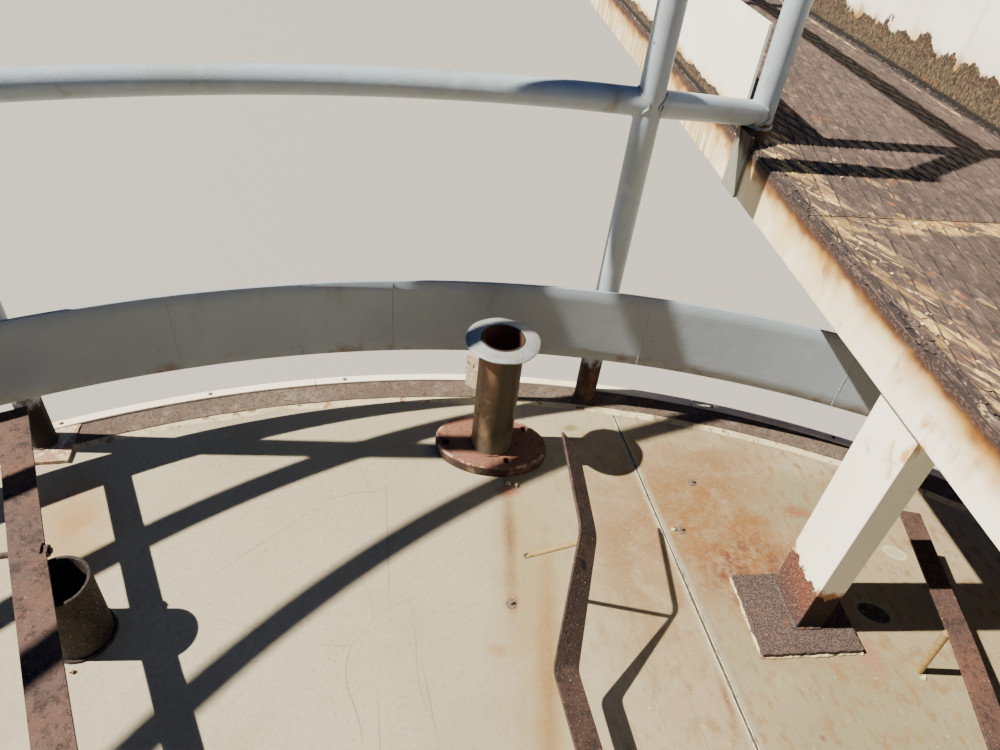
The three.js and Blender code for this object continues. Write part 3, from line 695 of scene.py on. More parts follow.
# Chequered floor plate, once painted cream: now an even purple-brown rust with a dry, scaly
# skin, and paint left in a few worn patches by the near edge and beside the joint.
def makeDeckRust():
    f = Finish("rusted chequer plate", "#483A34", 0.85)
    f.mottle(0.5, 0.35, 0.65, "#50423A", 0.85)
    f.mottle(0.14, 0.5, 0.72, "#55423C", 0.85)
    f.mottle(0.02, 0.42, 0.66, "#382D29", 0.9, -0.0002, stretch=(1, 3, 1),
             turn=walkTurn + deck["lean"])
    f.mottle(0.011, 0.5, 0.7, "#66564C", 0.8, 0.0003, stretch=(1, 4, 1), turn=walkTurn - deck["lean"])
    f.mottle(0.006, 0.52, 0.7, "#322723", 0.9, -0.0003, stretch=(1, 3, 1), turn=walkTurn + 40)
    left = walk["left"]
    flaky = f.lane(left + 0.024, left + 0.085, walkTurn, 0.04, ragged=0.09, grain=0.06)
    bare = f.blotches(0.03, 0.5, 0.58, (1, 5, 1), walkTurn + 24, within=flaky)
    f.coat(bare, "#8A6C3E", 0.7, 0.0003)
    paint = f.blotches(0.018, 0.53, 0.6, (1, 6, 1), walkTurn + 28, within=flaky)
    f.coat(paint, "#BFA66A", 0.55, 0.0005)
    far = walk["joints"][1]
    joint = f.lane(far - 0.05, far - 0.002, walkTurn, 0.02, axis=1, ragged=0.03, grain=0.05)
    nearJoint = f.lane(left, left + 0.62, walkTurn, 0.2, within=joint)
    f.mottle(0.02, 0.44, 0.54, "#AC9156", 0.6, 0.0004, stretch=(1, 4, 1), turn=walkTurn + 60,
             within=nearJoint)
    spread = f.lane(left + 0.05, left + 0.3, walkTurn, 0.2)
    f.mottle(0.028, 0.6, 0.66, "#90724E", 0.75, 0.0002, stretch=(1, 2.5, 1), turn=walkTurn + 20,
             within=spread)
    f.mottle(0.05, 0.62, 0.7, "#734A30", 0.85, within=spread)
    worn = f.blotches(0.05, 0.35, 0.6)
    # dark lines beside the ribs: dirt along them, set on each rib's side away from the key light as
    # painted rib shadow
    for lean in (deck["lean"], -deck["lean"]):
        f.coat(f.ruled(walkTurn + lean, deck["spacing"], 0.0026, 0.0035, within=worn), "#241E1C",
               0.95, -0.0002)
    gold = f.blotches(0.05, 0.5, 0.66, (1, 2, 1), walkTurn + 60, within=joint)
    f.coat(gold, "#8A7240", 0.7)
    right = walk["right"]
    f.coat(f.lane(right - 0.040, right - 0.034, walkTurn, 0.003, ragged=0.012, grain=0.05,
                  within=f.blotches(0.09, 0.42, 0.55)), "#A8966C", 0.7, 0.0004)
    # near-black strip along the deck's right edge by the toe plate: painted shadow
    paintedShadowStrip = f.lane(right - 0.022, right + 0.01, walkTurn, 0.004, ragged=0.01, grain=0.03)
    f.coat(paintedShadowStrip, "#120F0D", 0.95, -0.0008)
    edge = f.lane(left - 0.01, left + 0.022, walkTurn, 0.006, ragged=0.014, grain=0.03)
    f.coat(edge, "#302623", 0.9, 0.0006)
    f.mottle(0.010, 0.5, 0.6, "#5E4C46", 0.85, 0.0008, stretch=(1, 7, 1), turn=walkTurn, within=edge)
    f.mottle(0.007, 0.57, 0.62, "#110D0C", 0.95, -0.001, stretch=(1, 9, 1), turn=walkTurn,
             within=edge)
    f.mottle(0.009, 0.62, 0.66, "#9E8C6B", 0.7, 0.0004, stretch=(1, 4, 1), turn=walkTurn, within=edge)
    f.mottle(0.004, 0.3, 0.75, rise=0.0004)
    return f.done()


# Bare mild steel left out for years: dark brown, matt and pitted, reddish where it is freshest.
def makeDarkRust(name="weathered rusty steel", colour="#412F29", fresh="#54382D", dark="#2A1D19",
                 hole=None):
    f = Finish(name, colour, 0.75)
    f.mottle(0.12, 0.4, 0.65, fresh, 0.8)
    f.mottle(0.03, 0.5, 0.7, dark, 0.85)
    f.mottle(0.008, 0.5, 0.72, dark, 0.9, -0.0004)
    f.mottle(0.006, 0.6, 0.75, fresh, 0.7, 0.0003)
    f.mottle(0.0028, 0.58, 0.74, "#765442", 0.8, 0.0002, detail=2)
    f.mottle(0.004, 0.68, 0.76, "#A08672", 0.65, 0.0002, detail=2)
    if hole:
        f.coat(f.spot(hole, (0.0065, 0.0065), ragged=0.2, fade=0.3), "#080606", 0.9)
    f.mottle(0.02, 0.3, 0.7, rise=0.0005)
    return f.done()


# Hot-rolled plate rusted through its skin: coarse purple-grey grains, light and dark side by side.
def makePlateRust():
    f = Finish("granular plate rust", "#40332F", 0.85)
    f.mottle(0.06, 0.4, 0.65, "#4A3B36", 0.85)
    f.mottle(0.0030, 0.46, 0.62, "#2A2120", 0.9, -0.0003, detail=2)
    f.mottle(0.0026, 0.52, 0.68, "#75665F", 0.8, 0.0003, detail=2)
    f.mottle(0.03, 0.6, 0.72, "#5C4230", 0.85)
    f.mottle(0.02, 0.3, 0.7, rise=0.0005)
    return f.done()


# Thick flame-cut flange plate: dry red-brown rust, darker on its sides, rubbed pale along its rim.
def makeFlangeRust():
    f = Finish("rubbed flange rust", "#6E4A38", 0.8)
    x, y = nozzle["centre"]
    f.mottle(0.05, 0.4, 0.62, "#744E3E", 0.8)
    f.mottle(0.03, 0.54, 0.72, "#50342A", 0.85)
    rim = addNode(f.tree, "ShaderNodeMath", {
        0: f.spot((x, y), (nozzle["long"] + 0.001, nozzle["short"] + 0.001), ragged=0.0, fade=0.01),
        1: f.spot((x, y), (nozzle["long"] - 0.0045, nozzle["short"] - 0.0045), ragged=0.04, fade=0.02,
                  grain=0.01)},
        operation="SUBTRACT").outputs[0]
    f.mottle(0.018, 0.46, 0.58, "#A68872", 0.6, within=rim)
    f.mottle(0.006, 0.58, 0.74, "#46302A", 0.9, -0.0003)
    f.mottle(0.005, 0.58, 0.74, "#8F6C5A", 0.75, 0.0003)
    side = f.lane(roofTop - 0.01, roofTop + nozzle["thickness"] - 0.0016, 0, 0.002, axis=2)
    f.mottle(0.03, 0.2, 0.55, "#38251F", 0.85, within=side)
    f.mottle(0.02, 0.3, 0.7, rise=0.0005)
    return f.done()


# Drawn steel pipe with a thin olive-brown skin of oxide, slightly glossy, redder towards its top; its
# right half is darkened as painted shade.
def makePipeSteel():
    f = Finish("oxidised pipe steel with painted shade", "#745C43", 0.45, 0.05)
    x, y = nozzle["centre"]
    f.mottle(0.012, 0.4, 0.7, "#55452F", 0.5, stretch=(1, 1, 5))
    f.mottle(0.03, 0.5, 0.7, "#7C6A50", 0.45, stretch=(1, 1, 1.5))
    f.mottle(0.008, 0.56, 0.74, "#8C7A60", 0.4, stretch=(1, 1, 2))
    f.coat(f.runs(roofTop + 0.3, 0.17, 0.02, fade=1.1, ragged=0.8), "#673B2C", 0.65, metallic=0.0)
    # right half of the pipe darkened: painted shade on the side turned from the key light
    f.coat(f.lane(x - 0.002, x + 0.05, 0, 0.024, ragged=0.014, grain=0.05), "#1D1610", 0.5,
           metallic=0.0)
    f.coat(f.runs(roofTop + 0.024, -0.07, 0.03, fade=0.9, ragged=0.6), "#5C5A48", 0.5)
    f.mottle(0.01, 0.6, 0.72, "#4A2D1D", 0.75, -0.0002, stretch=(1, 1, 2))
    f.coat(f.spot((x, y), (0.0398, 0.0398), ragged=0.0, fade=0.02), "#4E3026", 0.7, metallic=0.0)
    f.coat(f.lane(roofTop + 0.2988, roofTop + 0.31, 0, 0.0006, axis=2), "#2A1B15", 0.7, metallic=0.0)
    f.mottle(0.004, 0.4, 0.75, rise=0.0001)
    return f.done()


# Galvanised sheet: a grey zinc skin, dull from weather, with brighter rubbed facets.
def makeGalvanised():
    f = Finish("weathered galvanised sheet", "#8C8E8F", 0.42, 0.1)
    f.mottle(0.03, 0.42, 0.62, "#959A9C", 0.36, detail=1)
    f.mottle(0.012, 0.5, 0.7, "#7C8389", 0.48)
    f.mottle(0.04, 0.58, 0.7, "#9A9684", 0.5, metallic=0.1)
    f.mottle(0.006, 0.68, 0.75, "#6E6050", 0.6, -0.0001, 0.2)
    f.mottle(0.02, 0.3, 0.7, rise=0.0002)
    return f.done()


# Electric-arc weld metal under paint or rust: rounded, lumpy and a little darker than the plate.
def makeWeld(name, colour, rust, roughness=0.5):
    f = Finish(name, colour, roughness)
    f.mottle(0.02, 0.52, 0.68, rust, 0.8)
    f.mottle(0.003, 0.3, 0.8, rise=0.0003)
    return f.done()


shellPaint = makeShellPaint()
curbRust = makeCurbRust()
stripPaint = makeStripPaint()
toePaint = makeToePaint()
redRust = makeDarkRust("red-brown flange rust", "#5A372C", "#6B4030", "#3A261F")
plateRust = makePlateRust()
# near-black rust for the stub pipe and its weld: its darkness is painted shade
shadeBlackRust = makeDarkRust("pipe rust blackened as painted shade", "#191311", "#211814", "#0F0B0A")
galvanised = makeGalvanised()
railWeld = makeWeld("painted weld bead", "#98A2A4", "#7C7468")
roofWeld = makeWeld("seam weld bead", "#A8A086", "#7A6A52", 0.6)
shellWeld = makeWeld("shell weld bead", "#B2AB98", "#80604A", 0.6)
toeWeld = makeWeld("painted toe plate weld", "#949C9A", "#84847A")
print("materials made")


# Geometry Nodes
def geometryTree(name, sockets):
    tree = bpy.data.node_groups.new(name, "GeometryNodeTree")
    tree.interface.new_socket("Geometry", in_out="INPUT", socket_type="NodeSocketGeometry")
    for label, kind, value in sockets:
        made = tree.interface.new_socket(label, in_out="INPUT", socket_type="NodeSocket" + kind)
        if value is not None:
            made.default_value = value
    tree.interface.new_socket("Material", in_out="INPUT", socket_type="NodeSocketMaterial")
    tree.interface.new_socket("Geometry", in_out="OUTPUT", socket_type="NodeSocketGeometry")
    return tree, addNode(tree, "NodeGroupInput").outputs


def closeTree(tree, given, geometry, smooth):
    whole = addNode(tree, "GeometryNodeRealizeInstances", {0: geometry})
    shaded = addNode(tree, "GeometryNodeSetShadeSmooth", {0: whole.outputs[0], 2: smooth})
    coloured = addNode(tree, "GeometryNodeSetMaterial", {0: shaded.outputs[0], 2: given["Material"]})
    addNode(tree, "NodeGroupOutput", {0: coloured.outputs[0]})
    return tree


# A weld bead laid along each path: short overlapping lumps of slightly different size
def makeBeadTree():
    tree, given = geometryTree("weld bead", [
        ("Size", "Float", 0.004), ("Pitch", "Float", 0.004), ("Unevenness", "Float", 0.25),
        ("Seed", "Int", 3)])
    curve = addNode(tree, "GeometryNodeMeshToCurve", {0: given["Geometry"]})
    stops = addNode(tree, "GeometryNodeResampleCurve", {0: curve.outputs[0], 3: given["Pitch"]},
                    mode="LENGTH")
    least = addNode(tree, "ShaderNodeMath", {0: 1.0, 1: given["Unevenness"]}, operation="SUBTRACT")
    most = addNode(tree, "ShaderNodeMath", {0: 1.0, 1: given["Unevenness"]}, operation="ADD")
    size = addNode(tree, "FunctionNodeRandomValue", {
        2: least.outputs[0], 3: most.outputs[0], 8: given["Seed"]})
    section = addNode(tree, "GeometryNodeCurvePrimitiveCircle", {0: 7, 4: given["Size"]})
    bead = addNode(tree, "GeometryNodeCurveToMesh", {
        0: stops.outputs[0], 1: section.outputs[0], 2: size.outputs[1], 3: True})
    return closeTree(tree, given, bead.outputs[0], True)


# A bolt head on a washer at each point, turned to the point's "aim"
def makeBoltTree():
    tree, given = geometryTree("bolt", [
        ("Radius", "Float", 0.012), ("Height", "Float", 0.01), ("Sides", "Int", 6),
        ("Taper", "Float", 0.9),
        ("Washer", "Float", 1.5), ("Washer Height", "Float", 0.003)])
    top = addNode(tree, "ShaderNodeMath", {0: given["Radius"], 1: given["Taper"]},
                  operation="MULTIPLY")
    head = addNode(tree, "GeometryNodeMeshCone", {
        0: given["Sides"], 3: top.outputs[0], 4: given["Radius"], 5: given["Height"]})
    lift = addNode(tree, "ShaderNodeCombineXYZ", {2: given["Washer Height"]})
    raised = addNode(tree, "GeometryNodeTransform", {0: head.outputs[0], 1: lift.outputs[0]})
    brim = addNode(tree, "ShaderNodeMath", {0: given["Radius"], 1: given["Washer"]},
                   operation="MULTIPLY")
    washer = addNode(tree, "GeometryNodeMeshCone", {
        0: 18, 3: brim.outputs[0], 4: brim.outputs[0], 5: given["Washer Height"]})
    both = addNode(tree, "GeometryNodeJoinGeometry")
    tree.links.new(washer.outputs[0], both.inputs[0])
    tree.links.new(raised.outputs[0], both.inputs[0])
    aim = addNode(tree, "GeometryNodeInputNamedAttribute", {0: "aim"}, data_type="FLOAT_VECTOR")
    turned = addNode(tree, "FunctionNodeAlignRotationToVector", {2: aim.outputs[0]}, axis="Z")
    placed = addNode(tree, "GeometryNodeInstanceOnPoints", {
        0: given["Geometry"], 2: both.outputs[0], 5: turned.outputs[0]})
    return closeTree(tree, given, placed.outputs[0], False)


# Loose flakes of rust scattered over a patch of faces, each flat, turned and sized at random
def makeFlakeTree():
    tree, given = geometryTree("rust flakes", [
        ("Density", "Float", 4000.0), ("Smallest", "Float", 0.002), ("Largest", "Float", 0.007),
        ("Flatness", "Float", 0.3), ("Seed", "Int", 5)])
    spread = addNode(tree, "GeometryNodeDistributePointsOnFaces", {
        0: given["Geometry"], 4: given["Density"], 6: given["Seed"]})
    size = addNode(tree, "FunctionNodeRandomValue", {
        2: given["Smallest"], 3: given["Largest"], 8: given["Seed"]})
    flat = addNode(tree, "ShaderNodeMath", {0: size.outputs[1], 1: given["Flatness"]},
                   operation="MULTIPLY")
    narrow = addNode(tree, "ShaderNodeMath", {0: size.outputs[1], 1: 0.6}, operation="MULTIPLY")
    extent = addNode(tree, "ShaderNodeCombineXYZ", {
        0: size.outputs[1], 1: narrow.outputs[0], 2: flat.outputs[0]})
    turn = addNode(tree, "FunctionNodeRandomValue", {
        0: (-0.5, -0.5, -3.1), 1: (0.5, 0.5, 3.1), 8: given["Seed"]}, data_type="FLOAT_VECTOR")
    spin = addNode(tree, "FunctionNodeRotateRotation", {
        0: spread.outputs["Rotation"], 1: turn.outputs[0]}, rotation_space="LOCAL")
    flake = addNode(tree, "GeometryNodeMeshIcoSphere", {0: 1.0, 1: 1})
    placed = addNode(tree, "GeometryNodeInstanceOnPoints", {
        0: spread.outputs[0], 2: flake.outputs[0], 5: spin.outputs[0], 6: extent.outputs[0]})
    return closeTree(tree, given, placed.outputs[0], False)


def growPiece(name, mesh, tree, values, material):
    piece = putIn(name, mesh)
    modifier = piece.modifiers.new("grow", "NODES")
    modifier.node_group = tree
    given = {**values, "Material": material}
    for socket in tree.interface.items_tree:
        if socket.in_out == "INPUT" and socket.name in given:
            modifier[socket.identifier] = given[socket.name]
    graph = bpy.context.evaluated_depsgraph_get()
    plain = bpy.data.meshes.new_from_object(piece.evaluated_get(graph), depsgraph=graph)
    piece.modifiers.remove(modifier)
    piece.data = plain
    dress(piece)


def aimedPoints(places):
    # points for the bolt tree; each entry is (place, direction)
    mesh = bpy.data.meshes.new("places")
    mesh.from_pydata([tuple(p) for p, _ in places], [], [])
    aim = mesh.attributes.new("aim", "FLOAT_VECTOR", "POINT")
    aim.data.foreach_set("vector", [c for _, d in places for c in d])
    return mesh


beadTree = makeBeadTree()
boltTree = makeBoltTree()
flakeTree = makeFlakeTree()
print("node trees made")


def layBead(name, paths, size, pitch, unevenness, material, seed=3):
    values = {"Size": size, "Pitch": pitch, "Unevenness": unevenness, "Seed": seed}
    growPiece(name, pathMesh(paths), beadTree, values, material)


def saddleBead(centre, branch, main, steps=28):
    # the closed line where a pipe that leaves along "branch" meets an equal one that runs along "main"
    away = branch.normalized()
    side = away.cross(main).normalized()
    other = side.cross(away)
    path = []
    for k in range(steps):
        turn = 2 * math.pi * k / steps
        path.append(centre + away * pipe * abs(math.cos(turn))
                    + side * pipe * math.sin(turn) + other * pipe * math.cos(turn))
    return path, True


# Wall: three courses of plate with a weld round each joint and stepped upright seams
wall = {"radius": 2.006, "plate": 0.008, "course": 1.5, "base": 0.0083, "steps": 192, "rows": 8,
        "wave": 0.0022, "waveLength": 0.7, "flatEdge": 0.05, "firstSeam": 20, "seamStep": 60,
        "bead": 0.0045, "beadPitch": 0.014}


def makeWall():
    shape = bmesh.new()
    inner = wall["radius"] - wall["plate"]
    height = wall["course"] - clear
    bottoms = [wall["base"] + course * wall["course"] for course in range(3)]
    for bottom in bottoms:
        levels = straightPath(bottom, bottom + height, wall["rows"])
        profile = [(wall["radius"], level) for level in levels]
        profile += [(inner, bottom + height), (inner, bottom)]
        addTurned(shape, profile, Vector((0, 0, 0)), wall["steps"])
    for v in shape.verts:
        level = (v.co.z - wall["base"]) % wall["course"]
        free = wall["flatEdge"] < level < wall["course"] - wall["flatEdge"]
        if free and v.co.xy.length > inner + wall["plate"] / 2:
            v.co.xy *= 1 + ripple(v.co, wall["waveLength"]) * wall["wave"] / wall["radius"]
    nodes = [f"shell_{name}_{half}" for name in ("lower", "middle", "upper") for half in (1, 2)]
    finishPiece("tank_wall", shape, shellPaint, nodes)
    out = wall["radius"] + 0.0005
    paths = [(ringPath(upwards * bottom, out, 360), True) for bottom in bottoms[1:]]
    for course, bottom in enumerate(bottoms):
        for half in (0, 180):
            foot = polar(out, wall["firstSeam"] + course * wall["seamStep"] + half, bottom)
            paths.append((straightPath(foot, foot + upwards * wall["course"], 60), False))
    paths.append((ringPath(upwards * (wall["base"] + 0.002), wall["radius"] + 0.002, 360), True))
    layBead("wall_welds", paths, wall["bead"], wall["beadPitch"], 0.25, shellWeld)


makeWall()
repaint("bottom_plate", shellPaint)
print("wall made")


# Roof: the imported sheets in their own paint, with the seams' beads and what stands on them
roof = {"seams": (-0.955, 0.545), "bead": 0.0014, "beadPitch": 0.011, "gap": 0.0068, "sway": 0.0015,
        "swayLength": 0.12, "curbInside": 1.957,
        "studs": ((-0.152, 1.416), (0.172, 1.626), (0.211, 1.757)), "stud": 0.0042,
        "lumps": ((-0.176, 1.691), (-0.160, 1.689), (0.158, 1.622), (-0.812, 1.206), (0.556, 1.372))}


# Zinc-plated stud and its pale washer, gone dull and freckled with rust
def makeStudSteel():
    f = Finish("dull zinc stud", "#80766A", 0.5, 0.3)
    f.mottle(0.004, 0.45, 0.6, "#54402F", 0.8, -0.0002, 0.0, detail=2)
    return f.done()


# Brushed-on sealing compound: thick, cream turned yellow, cracked and lifting at its edges
def makeSealant():
    f = Finish("yellowed sealing compound", "#C1B691", 0.6)
    f.mottle(0.05, 0.45, 0.65, "#A89770", 0.65)
    f.mottle(0.02, 0.55, 0.66, "#806343", 0.75, -0.0003)
    f.mottle(0.008, 0.6, 0.7, "#D3CEB3", 0.55, 0.0003)
    f.mottle(0.006, 0.25, 0.8, rise=0.0004)
    return f.done()


def makeRoof():
    roofPaint = makeRoofPaint()
    for name in ("left", "middle", "right"):
        repaint(f"roof_sheet_{name}", roofPaint)
    out, run = polar(1, roofStains["seam"]), polar(1, roofStains["seam"] + 90)
    paths = []
    for offset in roof["seams"]:
        half = math.sqrt(roof["curbInside"] ** 2 - offset ** 2) - 0.005
        for side in (-0.5, 0.5):
            line = []
            for k in range(161):
                station = -half + 2 * half * k / 160
                sway = roof["sway"] * ripple(Vector((station, offset, side)), roof["swayLength"])
                line.append(out * (offset + side * roof["gap"] + sway) + run * station
                            + upwards * (roofTop + 0.0004))
            paths.append((line, False))
    layBead("roof_seam_welds", paths, roof["bead"], roof["beadPitch"], 0.3, roofWeld)
    studs = [(Vector((x, y, roofTop + 0.0002)), (0.06, 0.03, 1)) for x, y in roof["studs"]]
    growPiece("roof_studs", aimedPoints(studs), boltTree,
              {"Radius": roof["stud"], "Height": 0.006, "Sides": 6, "Taper": 0.8, "Washer": 2.3,
               "Washer Height": 0.0012}, studSteel)
    paths = []
    for n, (x, y) in enumerate(roof["lumps"]):
        lump = []
        for k in range(6):
            right = 0.006 * ripple(Vector((k, n, 0)), 2.3)
            back = 0.005 * ripple(Vector((n, k, 3)), 2.1)
            rise = 0.0015 * abs(ripple(Vector((k, n, 5)), 1.9))
            lump.append(Vector((x + right, y + back, roofTop + 0.0012 + rise)))
        paths.append((lump, False))
    layBead("roof_weld_lumps", paths, 0.0042, 0.004, 0.5, sealant)


studSteel = makeStudSteel()
sealant = makeSealant()
makeRoof()
print("roof made")


# Rim: the rusty curb ring, and the riveted cream strip on its outer edge
rim = {"outer": 2.031, "curbWidth": 0.074, "curbInset": 0.002, "thickness": 0.005,
       "stripWidth": 0.020, "steps": 720,
       "joints": (108.3, 83.2, 133.5, 58, 158.7, 33), "farJoints": range(185, 390, 25),
       "jointGap": 0.0016, "rivet": 0.0036, "rivetSpacing": 0.29, "sealWidth": 0.016,
       "sealHeight": 0.0022,
       "lug": {"angle": 98.0, "facing": 62, "radius": 1.99, "width": 0.045, "thickness": 0.006,
               "height": 0.092, "slot": (0.62, 0.74), "slotDepth": 1.2},
       "pad": {"centre": (-1.096, 1.643), "turn": 15, "size": 0.1, "height": 0.0075, "cells": 24}}
rimLow = roofTop + clear
rimTop = rimLow + rim["thickness"]
rimInner = rim["outer"] - rim["curbWidth"]


# Cream paint brushed over a rough, flame-cut plate: thin at the edges, pink with rust beneath
def makePadPaint():
    f = Finish("rough painted pad", "#B4A38A", 0.6)
    f.mottle(0.03, 0.45, 0.62, "#91725C", 0.75)
    f.mottle(0.012, 0.55, 0.65, "#CFC7AB", 0.5, 0.0005)
    f.mottle(0.01, 0.66, 0.72, "#463025", 0.85, -0.0004)
    return f.done()


def makeCurb():
    shape = bmesh.new()
    outer = rim["outer"] - rim["curbInset"]
    height = rimTop - rimLow
    columns = [rimInner + (outer - rimInner) * k / 6 for k in range(7)]
    profile = [(r, height) for r in columns] + [(outer, 0.0), (rimInner, 0.0)]
    addTurned(shape, profile, Vector((0, 0, rimLow)), rim["steps"])
    for v in shape.verts:
        if v.co.z > rimTop - hair and v.co.xy.length < rim["outer"] - rim["stripWidth"] - 0.001:
            v.co.z += 0.0007 * ripple(v.co, 0.02) + 0.0006 * ripple(v.co, 0.006, 4)
        if v.co.xy.length < rimInner + hair:
            v.co.xy *= 1 + 0.0012 * ripple(v.co, 0.03, 2) / rimInner
    finishPiece("rim_curb_ring", shape, curbRust, ["rim_curb"], crease=50)


def makeStrip():
    joints = sorted({*rim["joints"], *rim["farJoints"]})
    shape = bmesh.new()
    width, thick = rim["stripWidth"], rim["thickness"]
    soft = 0.0008
    section = [(-width, 0), (0, 0), (0, thick - soft), (-soft, thick), (-width + soft, thick),
               (-width, thick - soft)]
    gap = math.degrees(rim["jointGap"] / rim["outer"])
    for start, end in zip(joints, joints[1:] + [joints[0] + 360]):
        steps = max(6, round((end - start) * 1.5))
        path = arcPath(rim["outer"], rimTop + clear, start + gap / 2, end - gap / 2, steps)
        for row in addSweep(shape, path, section):
            lift = abs(0.0006 * ripple(row[0].co, 0.4, 7))
            for v in row:
                v.co.z += lift
    finishPiece("rim_strip_lengths", shape, stripPaint, ["rim_strip"], crease=40)
    count = round(2 * math.pi * rim["outer"] / rim["rivetSpacing"])
    places = []
    for k in range(count):
        angle = 360 * k / count + 1.3 * ripple(Vector((k, 0, 0)), 1.7)
        places.append((polar(rim["outer"] - width / 2, angle, rimTop + thick + 0.0004), (0, 0, 1)))
    growPiece("rim_rivets", aimedPoints(places), boltTree,
              {"Radius": rim["rivet"], "Height": 0.0022, "Sides": 12, "Taper": 0.55, "Washer": 1.3,
               "Washer Height": 0.0006}, studSteel)


def makeSealingBand():
    shape = bmesh.new()
    outside = rimInner + 0.0006
    width, height = rim["sealWidth"], rim["sealHeight"]
    rounded = [(-width, 0.0), (0.0, 0.0), (0.0, height * 1.5), (-width * 0.3, height * 1.2),
               (-width * 0.8, height * 0.5)]
    addTurned(shape, [(outside + u, v) for u, v in rounded], Vector((0, 0, rimLow)), rim["steps"])
    for v in shape.verts:
        inwards = (outside - v.co.xy.length) / width
        flat = Vector((v.co.x, v.co.y, 0))
        waver = 0.32 * ripple(flat, 0.12, 3) + 0.2 * ripple(flat, 0.03, 4)
        v.co.xy *= 1 + inwards * waver * width / outside
        if v.co.z > rimLow + hair:
            v.co.z += 0.0006 * ripple(v.co, 0.025, 5)
    finishPiece("curb_sealing_band", shape, sealant, crease=55)


# A small flame-cut plate on edge, with a slot in one side
def makeLug():
    lug = rim["lug"]
    middle = polar(lug["radius"], lug["angle"], rimTop + clear)
    radial, tangent = polar(1, lug["facing"]), polar(1, lug["facing"] + 90)
    low, high = [lug["height"] * share for share in lug["slot"]]
    shape = bmesh.new()
    rows = []
    levels = [(0, 0), (low, 0), (low + 0.0005, 1), (high, 1), (high + 0.0005, 0), (lug["height"], 0)]
    for level, cut in levels:
        edge = lug["slotDepth"] * cut - 1
        corners = [(max(a, edge) * lug["width"] / 2, b * lug["thickness"] / 2)
                   for a, b in ((-1, -1), (1, -1), (1, 1), (-1, 1))]
        foot = middle + upwards * level
        rows.append([shape.verts.new(foot + tangent * u + radial * v) for u, v in corners])
    addSkin(shape, rows)
    finishPiece("rim_lug", shape, padPaint, bevel=0.0008)


def makePad():
    pad = rim["pad"]
    across, along = polar(1, pad["turn"]), polar(1, pad["turn"] + 90)
    centre = Vector((*pad["centre"], rimLow))
    cells = pad["cells"]
    shape = bmesh.new()
    grid = []
    for i in range(cells + 1):
        grid.append([])
        for j in range(cells + 1):
            u, v = (i / cells - 0.5) * pad["size"], (j / cells - 0.5) * pad["size"]
            edge = 0.002 * ripple(Vector((u, v, 1)), 0.02)
            place = centre + across * (u + edge) + along * (v + edge)
            place.z += pad["height"] + 0.0007 * ripple(place, 0.012)
            grid[-1].append(shape.verts.new(place))
    for a, b in zip(grid, grid[1:]):
        for j in range(cells):
            shape.faces.new((a[j], b[j], b[j + 1], a[j + 1]))
    border = [grid[i][0] for i in range(cells)] + grid[cells][:cells]
    border += [grid[i][cells] for i in range(cells, 0, -1)] + grid[0][:0:-1]
    feet = [shape.verts.new((v.co.x, v.co.y, rimLow)) for v in border]
    for k in range(len(border)):
        j = (k + 1) % len(border)
        shape.faces.new((border[k], feet[k], feet[j], border[j]))
    shape.faces.new(list(reversed(feet)))
    finishPiece("post_foot_pad", shape, padPaint, crease=40)


padPaint = makePadPaint()
makeCurb()
makeStrip()
makeSealingBand()
makeLug()
makePad()
print("rim made")


# Guard rail: posts, mid rail and top rail of one pipe size, welded where they meet
guard = {"radius": 1.986, "foot": 0.0056, "mid": 0.693, "top": 1.2, "first": 90.5, "second": 123.8,
         "last": 412.5, "bays": 10, "overrun": 0.8, "bead": 0.0032, "beadPitch": 0.006}
postAngles = [guard["first"]] + straightPath(guard["second"], guard["last"], guard["bays"] - 1)


def addPipe(shape, start, end, radius=pipe, sides=24):
    run = (end - start).normalized()
    up = run.orthogonal() if abs(run.z) > 0.95 else upwards
    addSweep(shape, [start, end], circleSection(radius, sides), up)


def footRing(foot, rise):
    # the closed line of the weld round a post
    return ringPath(foot + upwards * rise, pipe + 0.0005, 24), True


def makeGuardRail():
    shape = bmesh.new()
    beads, feet = [], []
    for angle in postAngles:
        foot, middle, head = [polar(guard["radius"], angle, roofTop + guard[level])
                              for level in ("foot", "mid", "top")]
        addPipe(shape, foot, head - upwards * 0.008)
        tangent = polar(1, angle + 90)
        beads.append(saddleBead(head, -upwards, tangent))
        if angle < guard["last"]:
            beads.append(saddleBead(middle, tangent, upwards))
        if angle > guard["first"]:
            beads.append(saddleBead(middle, -tangent, upwards))
        feet.append(footRing(foot, 0.0015))
    section = circleSection(pipe, 24)
    for start, end in zip(postAngles, postAngles[1:]):
        addSweep(shape, arcPath(guard["radius"], roofTop + guard["mid"], start, end, 26), section)
    ends = (guard["first"] - guard["overrun"], guard["last"] + guard["overrun"])
    addSweep(shape, arcPath(guard["radius"], roofTop + guard["top"], *ends, 260), section)
    nodes = [f"guard_bay_{k}" for k in range(1, guard["bays"] + 1)] + ["guard_post_last"]
    nodes += [f"top_rail_{k}" for k in (1, 2, 3)]
    finishPiece("guard_rail_pipes", shape, railPaint, nodes)
    layBead("post_foot_welds", feet, 0.0034, 0.006, 0.4, plateRust)
    return beads


# Walkway: its two sides, and the rails that stand on the deck's edges
walk = {"left": 0.570, "right": 1.225, "start": -1.5, "end": 3.6, "bottom": 0.492, "deck": deckHeight,
        "deckThickness": 0.006, "joints": (0.06, 1.76), "web": 0.006, "flange": 0.048,
        "legs": (1.396, -1.34), "legDepth": 0.1, "legInset": 0.018,
        "toe": {"left": 0.207, "right": 0.3}, "toeGap": 0.02, "toeThickness": 0.006,
        "rails": (1.14, 1.69), "post": 3.3, "railEnd": 0.03,
        "gate": {"left": 2.09, "right": 1.39}, "gateInset": 0.0305, "gatePipe": 0.641,
        "strap": {"outward": 0.0073, "rise": 0.024, "near": 0.024, "nearBelow": 0.066, "far": 0.004}}
walkSides = [
    {"name": "left", "face": walk["left"], "inward": 1, "guardAngle": guard["first"]},
    {"name": "right", "face": walk["right"], "inward": -1, "guardAngle": guard["last"]},
]


